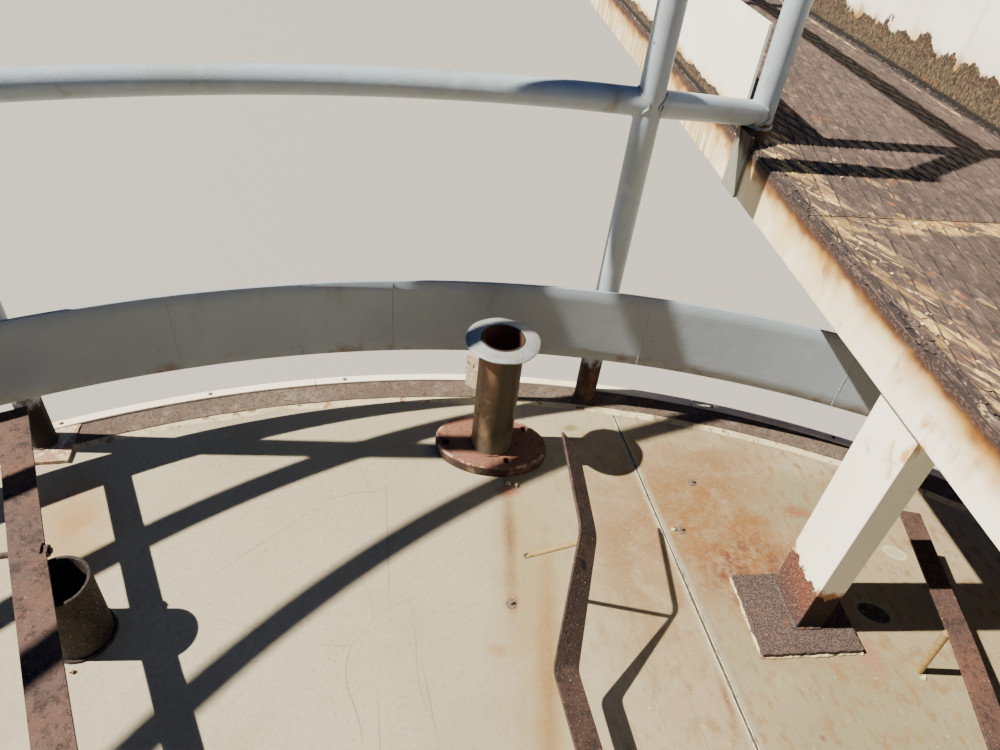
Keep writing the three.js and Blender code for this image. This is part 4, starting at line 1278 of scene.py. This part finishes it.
# Thick grey-green brush paint over flame-cut flat bar, with bare rust along its upper end
def makeStrapPaint():
    f = Finish("grey-green strap paint", "#7C8074", 0.5)
    f.mottle(0.03, 0.45, 0.7, "#787968", 0.55, stretch=(1, 1, 5))
    f.coat(f.runs(deckTop + 0.03, 0.06, 0.02, fade=0.5, ragged=0.8), "#3A2C22", 0.85, -0.0004)
    f.mottle(0.004, 0.3, 0.8, rise=0.0002)
    return f.done()


def makeGates():
    shape = bmesh.new()
    blocks = bmesh.new()
    beads = []
    strap = walk["strap"]
    for side in walkSides:
        face, inward, station = side["face"], side["inward"], walk["gate"][side["name"]]
        offset = face + inward * walk["gateInset"]
        foot = onWalk(offset, station, walk["deck"] + clear)
        head = onWalk(offset, station, walk["rails"][1])
        addPipe(shape, foot, head - upwards * 0.012)
        beads.append(footRing(foot, 0.0255))
        for guardHeight, height in ((guard["mid"], walk["gatePipe"]),
                                    (guard["top"], walk["rails"][0])):
            a = polar(guard["radius"], side["guardAngle"], roofTop + guardHeight)
            b = onWalk(offset, station, height)
            run = (b - a).normalized()
            addPipe(shape, a + run * 0.012, b - run * 0.012)
            beads += [saddleBead(b, -run, upwards), saddleBead(a, run, upwards)]
        outside = face - inward * strap["outward"]
        high = walk["deck"] + strap["rise"]
        addSlab(blocks, (outside, offset), (station - strap["near"], station + strap["far"]),
                (walk["deck"] + clear, high))
        addSlab(blocks, (outside, face - inward * clear),
                (station - strap["nearBelow"], station + strap["far"]), (walk["bottom"], high))
    finishPiece("gate_posts_and_pipes", shape, railPaint,
                ["gate_frame_left", "gate_frame_right"])
    finishPiece("gate_straps", blocks, strapPaint, bevel=0.0012)
    return beads


def makeWalkRails():
    shape = bmesh.new()
    beads = []
    low, high = walk["rails"]
    for side in walkSides:
        offset = side["face"] + side["inward"] * walk["gateInset"]
        start, end = walk["gate"][side["name"]], walk["end"] - walk["railEnd"]
        for height in (low, high):
            addPipe(shape, onWalk(offset, start, height), onWalk(offset, end, height))
            beads += [saddleBead(onWalk(offset, walk["post"], height), away, upwards)
                      for away in (-alongWalk, alongWalk)]
        beads.append(saddleBead(onWalk(offset, start, low), alongWalk, upwards))
        beads.append(saddleBead(onWalk(offset, start, high), -upwards, alongWalk))
        foot = onWalk(offset, walk["post"], walk["deck"] + clear)
        addPipe(shape, foot, onWalk(offset, walk["post"], high - 0.008))
        beads.append(footRing(foot, 0.002))
    finishPiece("walkway_rail_pipes", shape, railPaint,
                ["walkway_rail_left", "walkway_rail_right"])
    return beads


railPaint = makeRailPaint()
strapPaint = makeStrapPaint()
railBeads = makeGuardRail() + makeGates() + makeWalkRails()
layBead("rail_welds", railBeads, guard["bead"], guard["beadPitch"], 0.25, railWeld)
print("rails made")


# Toe plate round the roof: thin bent sheet in short lengths, butt welded
toe = {"radius": 1.9617, "thickness": 0.006, "low": 0.141, "high": 0.316, "steps": 540, "rows": 6,
       "soft": 0.0009, "buckle": 0.0016, "waver": 0.0008, "firstWeld": 103.4, "weldStep": 12.3}


def makeToePlate():
    shape = bmesh.new()
    outer, inner, soft = toe["radius"], toe["radius"] - toe["thickness"], toe["soft"]
    low = roofTop + toe["low"]
    height = toe["high"] - toe["low"]
    heights = straightPath(soft, height - soft, toe["rows"])
    profile = [(outer - soft, 0)] + [(outer, h) for h in heights] + [(outer - soft, height)]
    profile += [(inner + soft, height)] + [(inner, h) for h in reversed(heights)]
    profile.append((inner + soft, 0))
    addTurned(shape, profile, upwards * low, toe["steps"])
    for v in shape.verts:
        inwards = abs(ripple(v.co, 0.5)) + 0.4 * abs(ripple(v.co, 0.15, 3))
        v.co.xy *= 1 - inwards * toe["buckle"] / toe["radius"]
        v.co.z += toe["waver"] * ripple(Vector((v.co.x, v.co.y, 0)), 0.35, 9)
    nodes = [f"toe_plate_{k}" for k in (1, 2, 3)]
    finishPiece("toe_plate_ring", shape, toePaint, nodes, crease=60)
    paths = []
    for k in range(round(360 / toe["weldStep"])):
        foot = polar(inner - 0.0002, toe["firstWeld"] + toe["weldStep"] * k, low + 0.004)
        paths.append(([foot, foot + upwards * (height - 0.008)], False))
    layBead("toe_plate_welds", paths, 0.0012, 0.006, 0.35, toeWeld)


makeToePlate()
print("toe plate made")


# Nozzle: oval foot flange with bolt holes, pipe, and the flared collar on top
nozzle = {"centre": (-0.221, 1.783), "pipe": 0.0425, "bore": 0.038, "top": 0.3, "long": 0.118,
          "short": 0.078, "thickness": 0.024, "edge": 0.0015, "hole": 0.008,
          "holes": ((-0.095, -0.017), (0.038, -0.049), (0.068, 0.05), (-0.03, 0.062)),
          "collar": 0.071, "collarThickness": 0.004, "collarDrop": 0.005}
nozzleFoot = Vector((*nozzle["centre"], roofTop))


# A filled curve with rounded edges, so that the holes are true holes
def makeFlange():
    edge = nozzle["edge"]
    outline = bpy.data.curves.new("flange outline", "CURVE")
    outline.dimensions = "2D"
    outline.fill_mode = "BOTH"
    outline.extrude = nozzle["thickness"] / 2 - edge
    outline.bevel_depth = edge
    outline.bevel_resolution = 1
    bore = nozzle["pipe"] + 0.002
    rings = [((0, 0), nozzle["long"] - edge, nozzle["short"] - edge, 96), ((0, 0), bore, bore, 48)]
    rings += [(hole, nozzle["hole"] + edge, nozzle["hole"] + edge, 20) for hole in nozzle["holes"]]
    for (x, y), long, short, steps in rings:
        line = outline.splines.new("POLY")
        line.points.add(steps - 1)
        line.use_cyclic_u = True
        for point, (u, v) in zip(line.points, circleSection(1, steps)):
            point.co = (x + long * u, y + short * v, 0, 1)
    source = bpy.data.objects.new("flange outline", outline)
    shape = bmesh.new()
    shape.from_mesh(source.to_mesh())
    source.to_mesh_clear()
    bmesh.ops.remove_doubles(shape, verts=shape.verts, dist=0.00002)
    lift = nozzleFoot + upwards * (clear + nozzle["thickness"] / 2)
    bmesh.ops.translate(shape, verts=shape.verts, vec=lift)
    finishPiece("nozzle_foot_flange", shape, flangeRust, ["nozzle_flange"], crease=50)


def makeRiser():
    shape = bmesh.new()
    outer, bore, height = nozzle["pipe"], nozzle["bore"], nozzle["top"]
    soft = 0.0008
    profile = [(outer, clear + (height - soft) * k / 14) for k in range(15)]
    profile += [(outer - soft, height), (bore + soft, height), (bore, height - soft), (bore, clear)]
    addTurned(shape, profile, nozzleFoot, 64)
    finishPiece("nozzle_riser", shape, pipeSteel, ["nozzle_pipe"])


def makeCollar():
    shape = bmesh.new()
    inner, outer = nozzle["pipe"] + clear, nozzle["collar"]
    thick, drop = nozzle["collarThickness"], nozzle["collarDrop"]
    soft = 0.001
    profile = [(inner, -thick), (outer - soft, -thick - drop), (outer, -thick - drop + soft),
               (outer, -drop - soft), (outer - soft, -drop), ((inner + outer) / 2, -drop / 2),
               (inner + soft, 0), (inner, -soft)]
    addTurned(shape, profile, nozzleFoot + upwards * nozzle["top"], 96)
    for v in shape.verts:
        out = v.co.xy - nozzleFoot.xy
        reach = (out.length - inner) / (outer - inner)
        turn = math.atan2(out.y, out.x)
        v.co.z += reach * (0.0012 * math.sin(3 * turn + 0.7) + 0.0006 * math.sin(8 * turn))
    finishPiece("nozzle_flared_collar", shape, galvanised, ["nozzle_collar"], crease=40)
    ring = ringPath(nozzleFoot + upwards * (nozzle["thickness"] + 0.001), nozzle["pipe"] + 0.0012, 40)
    layBead("nozzle_weld", [(ring, True)], 0.0022, 0.006, 0.3, redRust)


pipeSteel = makePipeSteel()
flangeRust = makeFlangeRust()
makeFlange()
makeRiser()
makeCollar()
print("nozzle made")


# Short open pipe on the left of the roof, in near-black rust: painted shade, as the pipe stands in
# shade
stub = {"centre": (-0.828, 1.268), "radius": 0.046, "wall": 0.005, "height": 0.145}


def makeStub():
    foot = Vector((*stub["centre"], roofTop))
    outer, bore, height = stub["radius"], stub["radius"] - stub["wall"], stub["height"] + clear
    soft = 0.0008
    shape = bmesh.new()
    profile = [(outer, level) for level in straightPath(clear, height - soft, 8)]
    profile += [(outer - soft, height), (bore + soft, height), (bore, height - soft), (bore, clear)]
    addTurned(shape, profile, foot, 64)
    for v in shape.verts:
        if v.co.z > roofTop + height - 0.002:
            v.co.z -= 0.0015 * abs(ripple(v.co, 0.02))
    finishPiece("stub_open_pipe", shape, shadeBlackRust, ["stub_pipe"])
    ring = ringPath(foot + upwards * 0.002, outer + 0.002, 40)
    layBead("stub_weld", [(ring, True)], 0.0035, 0.008, 0.3, shadeBlackRust)


makeStub()


# Bent flat bars that stand on the roof, each a centre line of x, y and height above the roof
bars = {
    "centre": {"width": 0.041, "lean": 42, "cut": 0.02, "hole": (-0.057, 1.372),
               "line": [(-0.089, 1.596, 0.242), (-0.055, 1.414, 0.218), (-0.07, 1.253, 0.095),
                        (-0.036, 1.145, 0.09), (0.02, 0.985, 0.078), (0.06, 0.905, 0.0)],
               "rod": ((-0.06, 1.402, 0.214), (-0.142, 1.424, 0.129), 0.0044)},
    "left": {"width": 0.048, "lean": 0, "cut": 0,
             "line": [(-1.079, 1.584, 0.152), (-0.879, 1.291, 0.152), (-0.7, 1.04, 0.152),
                      (-0.555, 0.828, 0.14), (-0.53, 0.79, 0.0)],
             "rod": ((-0.985, 1.277, 0.150), (-0.858, 1.315, 0.150), 0.005)},
    "right": {"width": 0.039, "lean": 0, "cut": 0,
              "line": [(0.566, 1.625, 0.127), (0.559, 1.47, 0.127), (0.555, 1.353, 0.127),
                       (0.544, 1.224, 0.127), (0.53, 1.03, 0.122), (0.527, 0.985, 0.0)],
              "rod": ((0.554, 1.382, 0.002), (0.536, 1.374, 0.130), 0.0062)},
}
barShape = {"thickness": 0.005, "bend": 0.012, "flatBelow": 0.04, "leanOver": 0.17, "wear": 0.02,
            "nutFromEnd": 0.014}


def makeBar(name, bar):
    points = [Vector((x, y, roofTop + z + clear)) for x, y, z in bar["line"]]
    heading = points[-1] - points[0]
    heading.z = 0
    level = Vector((-heading.y, heading.x, 0)).normalized()
    path = roundedPath(points, barShape["bend"])
    shape = bmesh.new()
    rows = []
    for i, point in enumerate(path):
        run = headingAt(path, i)
        share = (point.z - roofTop - barShape["flatBelow"]) / barShape["leanOver"]
        lean = math.radians(bar["lean"]) * max(0.0, min(1.0, share))
        side = (level * math.cos(lean) - upwards * math.sin(lean)) * (bar["width"] / 2)
        outwards = heading if i == len(path) - 1 else run.cross(side)
        rise = outwards.normalized() * barShape["thickness"]
        wear = 1 + barShape["wear"] * ripple(point, 0.05, 3)
        corners = [point + side * wear, point - side * wear]
        corners += [corners[1] + rise, corners[0] + rise]
        if i == 0:
            for k in (0, 3):
                corners[k] = corners[k] + run * bar["cut"]
        rows.append([shape.verts.new(c) for c in corners])
    addSkin(shape, rows)
    # the centre bar's darker rust is painted shade on its face turned from the key light
    rust = shadeDarkBarRust if name == "centre" else darkRust
    finishPiece(f"bent_flat_bar_{name}", shape, rust, [f"flat_bar_{name}"],
                bevel=0.0009)
    start, end = [Vector(p) + upwards * roofTop for p in bar["rod"][:2]]
    shape = bmesh.new()
    addPipe(shape, start, end, bar["rod"][2], sides=14)
    steel = darkRust if name == "left" else rodSteel
    finishPiece(f"bar_rod_{name}", shape, steel, bevel=0.0005)
    return start, end


def makeBars():
    rods = {name: makeBar(name, bar) for name, bar in bars.items()}
    start, end = rods["left"]
    run = (end - start).normalized()
    growPiece("rod_nut", aimedPoints([(end - run * barShape["nutFromEnd"], run)]), boltTree,
              {"Radius": 0.0105, "Height": 0.008, "Taper": 1.0, "Washer": 1.25,
               "Washer Height": 0.002},
              darkRust)


# Thin cadmium-yellow rods: passivated steel, still a little shiny, dulled by weather
def makeRodSteel():
    f = Finish("yellow passivated rod", "#A8925F", 0.4, 0.35)
    f.mottle(0.01, 0.5, 0.7, "#87703F", 0.55)
    f.mottle(0.004, 0.6, 0.75, "#6E5236", 0.8, -0.0002, 0.1)
    end = bars["centre"]["rod"][1]
    f.coat(f.spot(end[:2], (0.006, 0.006), ragged=0.2, fade=0.5, grain=0.01), "#2A2018", 0.8,
           metallic=0.0)
    return f.done()


rodSteel = makeRodSteel()
darkRust = makeDarkRust()
# a darker copy of the rust for the centre bar: painted shade
shadeDarkBarRust = makeDarkRust("bar rust darkened as painted shade", "#30221C", "#412D25", "#201713", bars["centre"]["hole"])
makeBars()
print("bars made")


# Walkway steel: channel sides, legs on rusted base plates, toe plates
def channelSection(depth, inward):
    # a channel with its back at 0 and its flanges turned inwards, as (across, up) points
    soft, fillet = 0.001, 0.004
    web, flange = walk["web"], walk["flange"]
    half = [(0, soft), (soft, 0), (flange, 0), (flange, web * 0.7), (web + fillet, web),
            (web, web + fillet)]
    points = half + [(x, depth - y) for x, y in reversed(half)]
    return [(x * inward, y) for x, y in points]


def makeStringers():
    depth = walk["deck"] - walk["deckThickness"] - clear - walk["bottom"]
    for side in walkSides:
        shape = bmesh.new()
        ends = [onWalk(side["face"], end, walk["bottom"]) for end in (walk["start"], walk["end"])]
        addSweep(shape, straightPath(*ends, 170), channelSection(depth, side["inward"]))
        finishPiece(f"stringer_channel_{side['name']}", shape, creamPaint,
                    [f"walkway_stringer_{side['name']}"], crease=35)


legPlate = {"width": 0.184, "depth": 0.158, "thickness": 0.012, "outward": 0.008, "backward": 0.016,
            "scale": 0.0022, "cell": 0.0035, "rustReach": 0.12}


def scaly(place, least, most):
    # scale on the top of a base plate and round its edges
    p = place.copy()
    if p.z > most.z - hair:
        p.z += legPlate["scale"] * 0.45 * (ripple(p, 0.012, 1) + 0.7 * ripple(p, 0.005, 2))
    for n in (0, 1):
        if p[n] < least[n] + hair:
            p[n] -= legPlate["scale"] * ripple(p, 0.014, 5)
        if p[n] > most[n] - hair:
            p[n] += legPlate["scale"] * ripple(p, 0.014, 6)
    return p


def makeLegs():
    beads, seals, plates = [], [], []
    low, high = legPlate["thickness"] + clear, walk["bottom"] - clear
    middle = low + legPlate["rustReach"]
    levels = straightPath(low, middle, 30) + straightPath(middle, high, 10)[1:]
    for side in walkSides:
        name, inward = side["name"], side["inward"]
        outside = side["face"] + inward * walk["legInset"]
        inner = outside + inward * walk["flange"]
        for number, station in enumerate(walk["legs"], 1):
            near, far = station - walk["legDepth"] / 2, station + walk["legDepth"] / 2
            shape = bmesh.new()
            addSweep(shape, [onWalk(outside, near, level) for level in levels],
                     channelSection(walk["legDepth"], -inward), alongWalk)
            finishPiece(f"leg_channel_{name}_{number}", shape, creamPaint,
                        [f"walkway_leg_{name}_{number}"], crease=35)
            across = outside + inward * (walk["flange"] / 2 - legPlate["outward"])
            along = station - legPlate["backward"]
            a, b = across - legPlate["width"] / 2, across + legPlate["width"] / 2
            c, d = along - legPlate["depth"] / 2, along + legPlate["depth"] / 2
            shape = bmesh.new()
            addSlab(shape, (a, b), (c, d), (clear, low), cell=legPlate["cell"], roughen=scaly)
            finishPiece(f"leg_base_plate_{name}_{number}", shape, plateRust,
                        crease=60)
            plates.append(((a, b), (c, d)))
            foot = [(outside, near), (outside, far), (inner, far), (inner, near), (outside, near)]
            beads.append(([onWalk(*corner, low + 0.001) for corner in foot], False))
            beads.append(([onWalk(outside, end, high + 0.0006) for end in (near, far)], False))
            for start, end in (((a, d), (a, c)), ((a, c), (b, c))):
                line = straightPath(onWalk(*start, 0.0012), onWalk(*end, 0.0012), 40)
                wavy = [p + Vector((1, 1, 0)) * 0.0018 * ripple(p, 0.02, 6) for p in line]
                seals.append((wavy, False))
    layBead("base_plate_welds", seals, 0.0028, 0.005, 0.5, sealant, seed=8)
    layBead("leg_welds", beads, 0.0035, 0.006, 0.35, plateRust)
    return plates


def makeWalkToes():
    for side in walkSides:
        name, face = side["name"], side["face"]
        corroded = name == "right"

        def eaten(place, least, most):
            p = place.copy()
            height = p.z - least.z
            if corroded and height < 0.1:
                wave = ripple(Vector((p.y, p.y * 0.3, 0)), 0.05, 8)
                bite = max(0.0, wave) * 0.004 * (1 - height / 0.1)
                p.x += ((least.x + most.x) / 2 - p.x) * min(0.8, bite / 0.003)
            if height < hair:
                p.z += 0.003 * abs(ripple(p, 0.03, 2))
            return p

        shape = bmesh.new()
        addSlab(shape, (face, face + side["inward"] * walk["toeThickness"]),
                (walk["gate"][name] + walk["toeGap"], walk["end"]),
                (walk["deck"] + clear, walk["deck"] + walk["toe"][name]), cell=0.012, roughen=eaten)
        finishPiece(f"walkway_toe_sheet_{name}", shape, toePlates[name],
                    [f"walkway_toe_{name}"], crease=40)


creamPaint = makeCreamPaint()
toePlates = {"left": makeWalkToePaint("rust-stained toe gloss", 0.028),
             "right": makeWalkToePaint("corroded toe gloss", 0.085)}
makeStringers()
basePlates = makeLegs()
makeWalkToes()
print("walkway steel made")


# Deck: rusted chequer plate in three sheets, with its raised rhombic ribs
deck = {"cell": 0.014, "edge": 0.0022, "lean": 14.0, "spacing": 0.0272, "rib": 0.0021,
        "bearerWidth": 0.05, "bearerInset": 0.12, "bearerDepth": 0.046, "gap": 0.0015,
        "flakeStrip": 0.02,
        "paintLeft": (((0.592, 0.65), (1.3, 2.02)), ((0.60, 0.95), (1.712, 1.752)),
                      ((0.64, 0.8), (1.86, 2.0)))}


def clippedLine(point, run, low, high):
    # the part of an endless line that lies inside a rectangle, or nothing
    first, last = -1e9, 1e9
    for n in (0, 1):
        if abs(run[n]) < 1e-9:
            continue
        a, b = sorted(((low[n] - point[n]) / run[n], (high[n] - point[n]) / run[n]))
        first, last = max(first, a), min(last, b)
    return (point + run * first, point + run * last) if last - first > 0.01 else None


def wornEdge(place, least, most):
    p = place.copy()
    for n in (0, 1):
        if p[n] < least[n] + hair:
            p[n] += deck["edge"] * (0.4 - abs(ripple(p, 0.03, 5)) - 0.4 * abs(ripple(p, 0.008, 6)))
        if p[n] > most[n] - hair:
            p[n] -= deck["edge"] * (0.4 - abs(ripple(p, 0.03, 7)) - 0.4 * abs(ripple(p, 0.008, 8)))
    if p.z > most.z - hair:
        p.z -= 0.0005 * abs(ripple(p, 0.06)) + 0.0004 * abs(ripple(p, 0.02, 3))
    return p


def ribLines(low, high, height):
    # two sets of parallel lines that cross, cut to the sheet
    reach = max(low.length, high.length)
    count = int(reach / deck["spacing"])
    paths = []
    for lean in (deck["lean"], -deck["lean"]):
        run = polar(1, 90 - lean).xy
        step = Vector((run.y, -run.x))
        for j in range(-count, count + 1):
            cut = clippedLine(step * deck["spacing"] * j, run, low, high)
            if cut:
                paths.append(([onWalk(p.x, p.y, height) for p in cut], False))
    return paths


def makeDeck():
    ends = [walk["start"], *walk["joints"], walk["end"]]
    bottom, top = walk["deck"] - walk["deckThickness"], walk["deck"]
    half = deck["bearerWidth"] / 2
    inside = (walk["left"] + walk["flange"] + 0.0005, walk["right"] - walk["flange"] - 0.0005)
    for k, (start, end) in enumerate(zip(ends, ends[1:]), 1):
        stations = (start + 0.0005, end - deck["gap"] - 0.0005)
        shape = bmesh.new()
        addSlab(shape, (walk["left"] + 0.001, walk["right"] - 0.001), stations, (bottom, top),
                cell=deck["cell"], roughen=wornEdge)
        for station in (start + deck["bearerInset"], end - deck["bearerInset"]):
            addSlab(shape, inside, (station - half, station + half),
                    (bottom - deck["bearerDepth"], bottom - 0.0002))
        finishPiece(f"deck_sheet_{k}", shape, deckRust, [f"walkway_deck_{k}"], crease=45)
        low = Vector((walk["left"] + 0.005, stations[0] + 0.004))
        high = Vector((walk["right"] - 0.005, stations[1] - 0.004))
        layBead(f"deck_ribs_{k}", ribLines(low, high, top - 0.0006), deck["rib"], 0.05, 0.22,
                deckRust, seed=k)


def scatterFlakes(name, patches, height, values, material):
    # over rectangles on the walkway; each patch is (offsets, stations)
    corners = []
    for (a, b), (c, d) in patches:
        corners += [tuple(onWalk(u, v, height)) for u, v in ((a, c), (b, c), (b, d), (a, d))]
    mesh = bpy.data.meshes.new("patches")
    mesh.from_pydata(corners, [], [tuple(range(4 * i, 4 * i + 4)) for i in range(len(patches))])
    growPiece(name, mesh, flakeTree, values, material)


def makeFlakes():
    stations = (walk["start"] + 0.01, walk["end"] - 0.01)
    left, right, strip = walk["left"], walk["right"], deck["flakeStrip"]
    edges = [((left + 0.001, left + strip), stations), ((right - strip, right - 0.001), stations)]
    scatterFlakes("deck_edge_flakes", edges, walk["deck"] - 0.0004,
                  {"Density": 13000.0, "Smallest": 0.002, "Largest": 0.0085, "Flatness": 0.2},
                  plateRust)
    scatterFlakes("deck_paint_flakes", deck["paintLeft"], walk["deck"] - 0.0002,
                  {"Density": 1100.0, "Smallest": 0.002, "Largest": 0.009, "Flatness": 0.1,
                   "Seed": 17},
                  flakePaint)
    scatterFlakes("base_plate_flakes", basePlates, legPlate["thickness"] + clear,
                  {"Density": 30000.0, "Smallest": 0.0008, "Largest": 0.0024, "Flatness": 0.45,
                   "Seed": 9},
                  plateRust)


# Cream paint that has let go of the rust below it, lying in dry curled flakes
def makeFlakePaint():
    f = Finish("curled cream flakes", "#BFA870", 0.6)
    f.mottle(0.02, 0.45, 0.62, "#9C8262", 0.7)
    f.mottle(0.01, 0.6, 0.7, "#E0D8BC", 0.5)
    return f.done()


deckRust = makeDeckRust()
flakePaint = makeFlakePaint()
makeDeck()
makeFlakes()
print("deck made")


# Wall fittings: manway with its bolted cover, and a blanked outlet
fittings = {
    "manway": {"angle": -60, "height": 0.76, "radius": 0.254, "wall": 0.01, "reach": 0.195,
               "sunk": 0.02,
               "flange": 0.33, "thickness": 0.02, "bolts": 20, "bolt": 0.012, "boltCircle": 0.294,
               "handle": {"half": 0.07, "apart": 0.1, "reach": 0.045, "radius": 0.006, "bend": 0.02}},
    "outlet": {"angle": -115, "height": 0.32, "radius": 0.057, "reach": 0.17, "sunk": 0.01,
               "flange": 0.11, "thickness": 0.04, "bolts": 8, "bolt": 0.009, "boltCircle": 0.087},
}


def addNeck(shape, fitting, rest, steps):
    # a neck with a flange; "rest" goes on with its section, from the flange's outer edge to the bore
    axis = polar(1, fitting["angle"])
    start = axis * (wall["radius"] - fitting["sunk"]) + upwards * fitting["height"]
    back = fitting["reach"] + fitting["sunk"] - fitting["thickness"]
    soft = 0.002
    profile = [(fitting["radius"], 0), (fitting["radius"], back), (fitting["flange"] - soft, back),
               (fitting["flange"], back + soft)]
    addTurned(shape, profile + rest, start, steps, axis)
    wallFace = wall["radius"] + clear
    for v in shape.verts:
        if (v.co - start).dot(axis) < 0.001:
            # its inner end follows the round wall
            across = v.co - axis * v.co.dot(axis)
            across.z = 0
            v.co += axis * (math.sqrt(wallFace ** 2 - across.length ** 2) - v.co.dot(axis))


def growBolts(name, past):
    # a ring of bolts, whose heads stand "past" the neck's end
    fitting = fittings[name]
    axis = polar(1, fitting["angle"])
    middle = axis * (wall["radius"] + fitting["reach"] + past) + upwards * fitting["height"]
    side = axis.cross(upwards)
    places = []
    for k in range(fitting["bolts"]):
        turn = 2 * math.pi * (k + 0.5) / fitting["bolts"]
        out = side * math.cos(turn) + upwards * math.sin(turn)
        places.append((middle + out * fitting["boltCircle"], axis))
    size = fitting["bolt"]
    growPiece(f"{name}_bolts", aimedPoints(places), boltTree,
              {"Radius": size, "Height": size * 0.9, "Taper": 0.94, "Washer Height": 0.0025},
              redRust)


def makeManway():
    man = fittings["manway"]
    axis = polar(1, man["angle"])
    reach, bore, soft = man["reach"] + man["sunk"], man["radius"] - man["wall"], 0.002
    shape = bmesh.new()
    flange = man["flange"]
    rest = [(flange, reach - soft), (flange - soft, reach), (bore, reach), (bore, 0)]
    addNeck(shape, man, rest, 96)
    finishPiece("manway_neck_and_flange", shape, shellPaint, ["manway_neck"])
    shape = bmesh.new()
    face = axis * (wall["radius"] + man["reach"] + clear) + upwards * man["height"]
    addDisc(shape, face, man["flange"], man["thickness"], 96, axis, soft)
    finishPiece("manway_blind_cover", shape, shellPaint, ["manway_cover"])
    handle = man["handle"]
    aside = axis.cross(upwards) * handle["half"]
    out = axis * handle["reach"]
    shape = bmesh.new()
    for lift in (-handle["apart"], handle["apart"]):
        middle = face + axis * (man["thickness"] - 0.002) + upwards * lift
        a, b = middle + aside, middle - aside
        addSweep(shape, roundedPath([a, a + out, b + out, b], handle["bend"], 6),
                 circleSection(handle["radius"], 12))
    finishPiece("manway_handles", shape, shellPaint)


def makeOutlet():
    out = fittings["outlet"]
    edge, end = out["flange"], out["reach"] + out["sunk"]
    joint = end - out["thickness"] / 2
    soft, groove = 0.002, 0.003
    shape = bmesh.new()
    rest = [(edge, joint - 0.0015), (edge - groove, joint - 0.001), (edge - groove, joint + 0.001),
            (edge, joint + 0.0015), (edge, end - soft), (edge - soft, end), (soft, end), (soft, 0)]
    addNeck(shape, out, rest, 72)
    finishPiece("outlet_with_blank", shape, shellPaint, ["outlet_nozzle"])


makeManway()
makeOutlet()
growBolts("manway", clear + fittings["manway"]["thickness"] + 0.0012)
growBolts("outlet", 0.0008)
print("wall fittings made")


# Studio: pale floor, a key light from the left and an even fill
studio = {"sun": 15.0, "sunAngle": 0.7, "sunColour": "#FFF4E2", "sunRun": (0.89, 0.125, -1.0),
          "fill": 0.2, "fillColour": "#5A8CEE", "backdrop": "#C9CED3",
          "floor": "#989691", "floorReach": 40, "floorDrop": 0.001}


def makeKeyLight():
    data = bpy.data.lights.new("key light", "SUN")
    data.energy = studio["sun"]
    data.angle = math.radians(studio["sunAngle"])
    data.color = linear(studio["sunColour"])[:3]
    sun = putIn("key light", data)
    sun.rotation_mode = "QUATERNION"
    sun.rotation_quaternion = Vector(studio["sunRun"]).to_track_quat("-Z", "Y")


# What lights the object is bluer than what the camera sees behind it
def makeFill():
    world = bpy.data.worlds.new("studio fill")
    world.use_nodes = True
    tree = world.node_tree
    sky = tree.nodes["Background"]
    sky.inputs["Color"].default_value = linear(studio["fillColour"])
    sky.inputs["Strength"].default_value = studio["fill"]
    backdrop = addNode(tree, "ShaderNodeBackground", {0: linear(studio["backdrop"]), 1: 1.0})
    seen = addNode(tree, "ShaderNodeLightPath").outputs["Is Camera Ray"]
    mixed = addNode(tree, "ShaderNodeMixShader", {0: seen, 1: sky.outputs[0], 2: backdrop.outputs[0]})
    tree.links.new(mixed.outputs[0], tree.nodes["World Output"].inputs["Surface"])
    bpy.context.scene.world = world


def makeFloor():
    paint = bpy.data.materials.new("pale studio floor")
    paint.use_nodes = True
    shader = paint.node_tree.nodes["Principled BSDF"]
    shader.inputs["Base Color"].default_value = linear(studio["floor"])
    shader.inputs["Roughness"].default_value = 0.9
    reach, low = studio["floorReach"], -studio["floorDrop"]
    mesh = bpy.data.meshes.new("floor")
    corners = [(x * reach, y * reach, low) for x, y in ((-1, -1), (1, -1), (1, 1), (-1, 1))]
    mesh.from_pydata(corners, [], [(0, 1, 2, 3)])
    mesh.materials.append(paint)
    putIn("floor", mesh)


makeKeyLight()
makeFill()
makeFloor()
print("studio made")
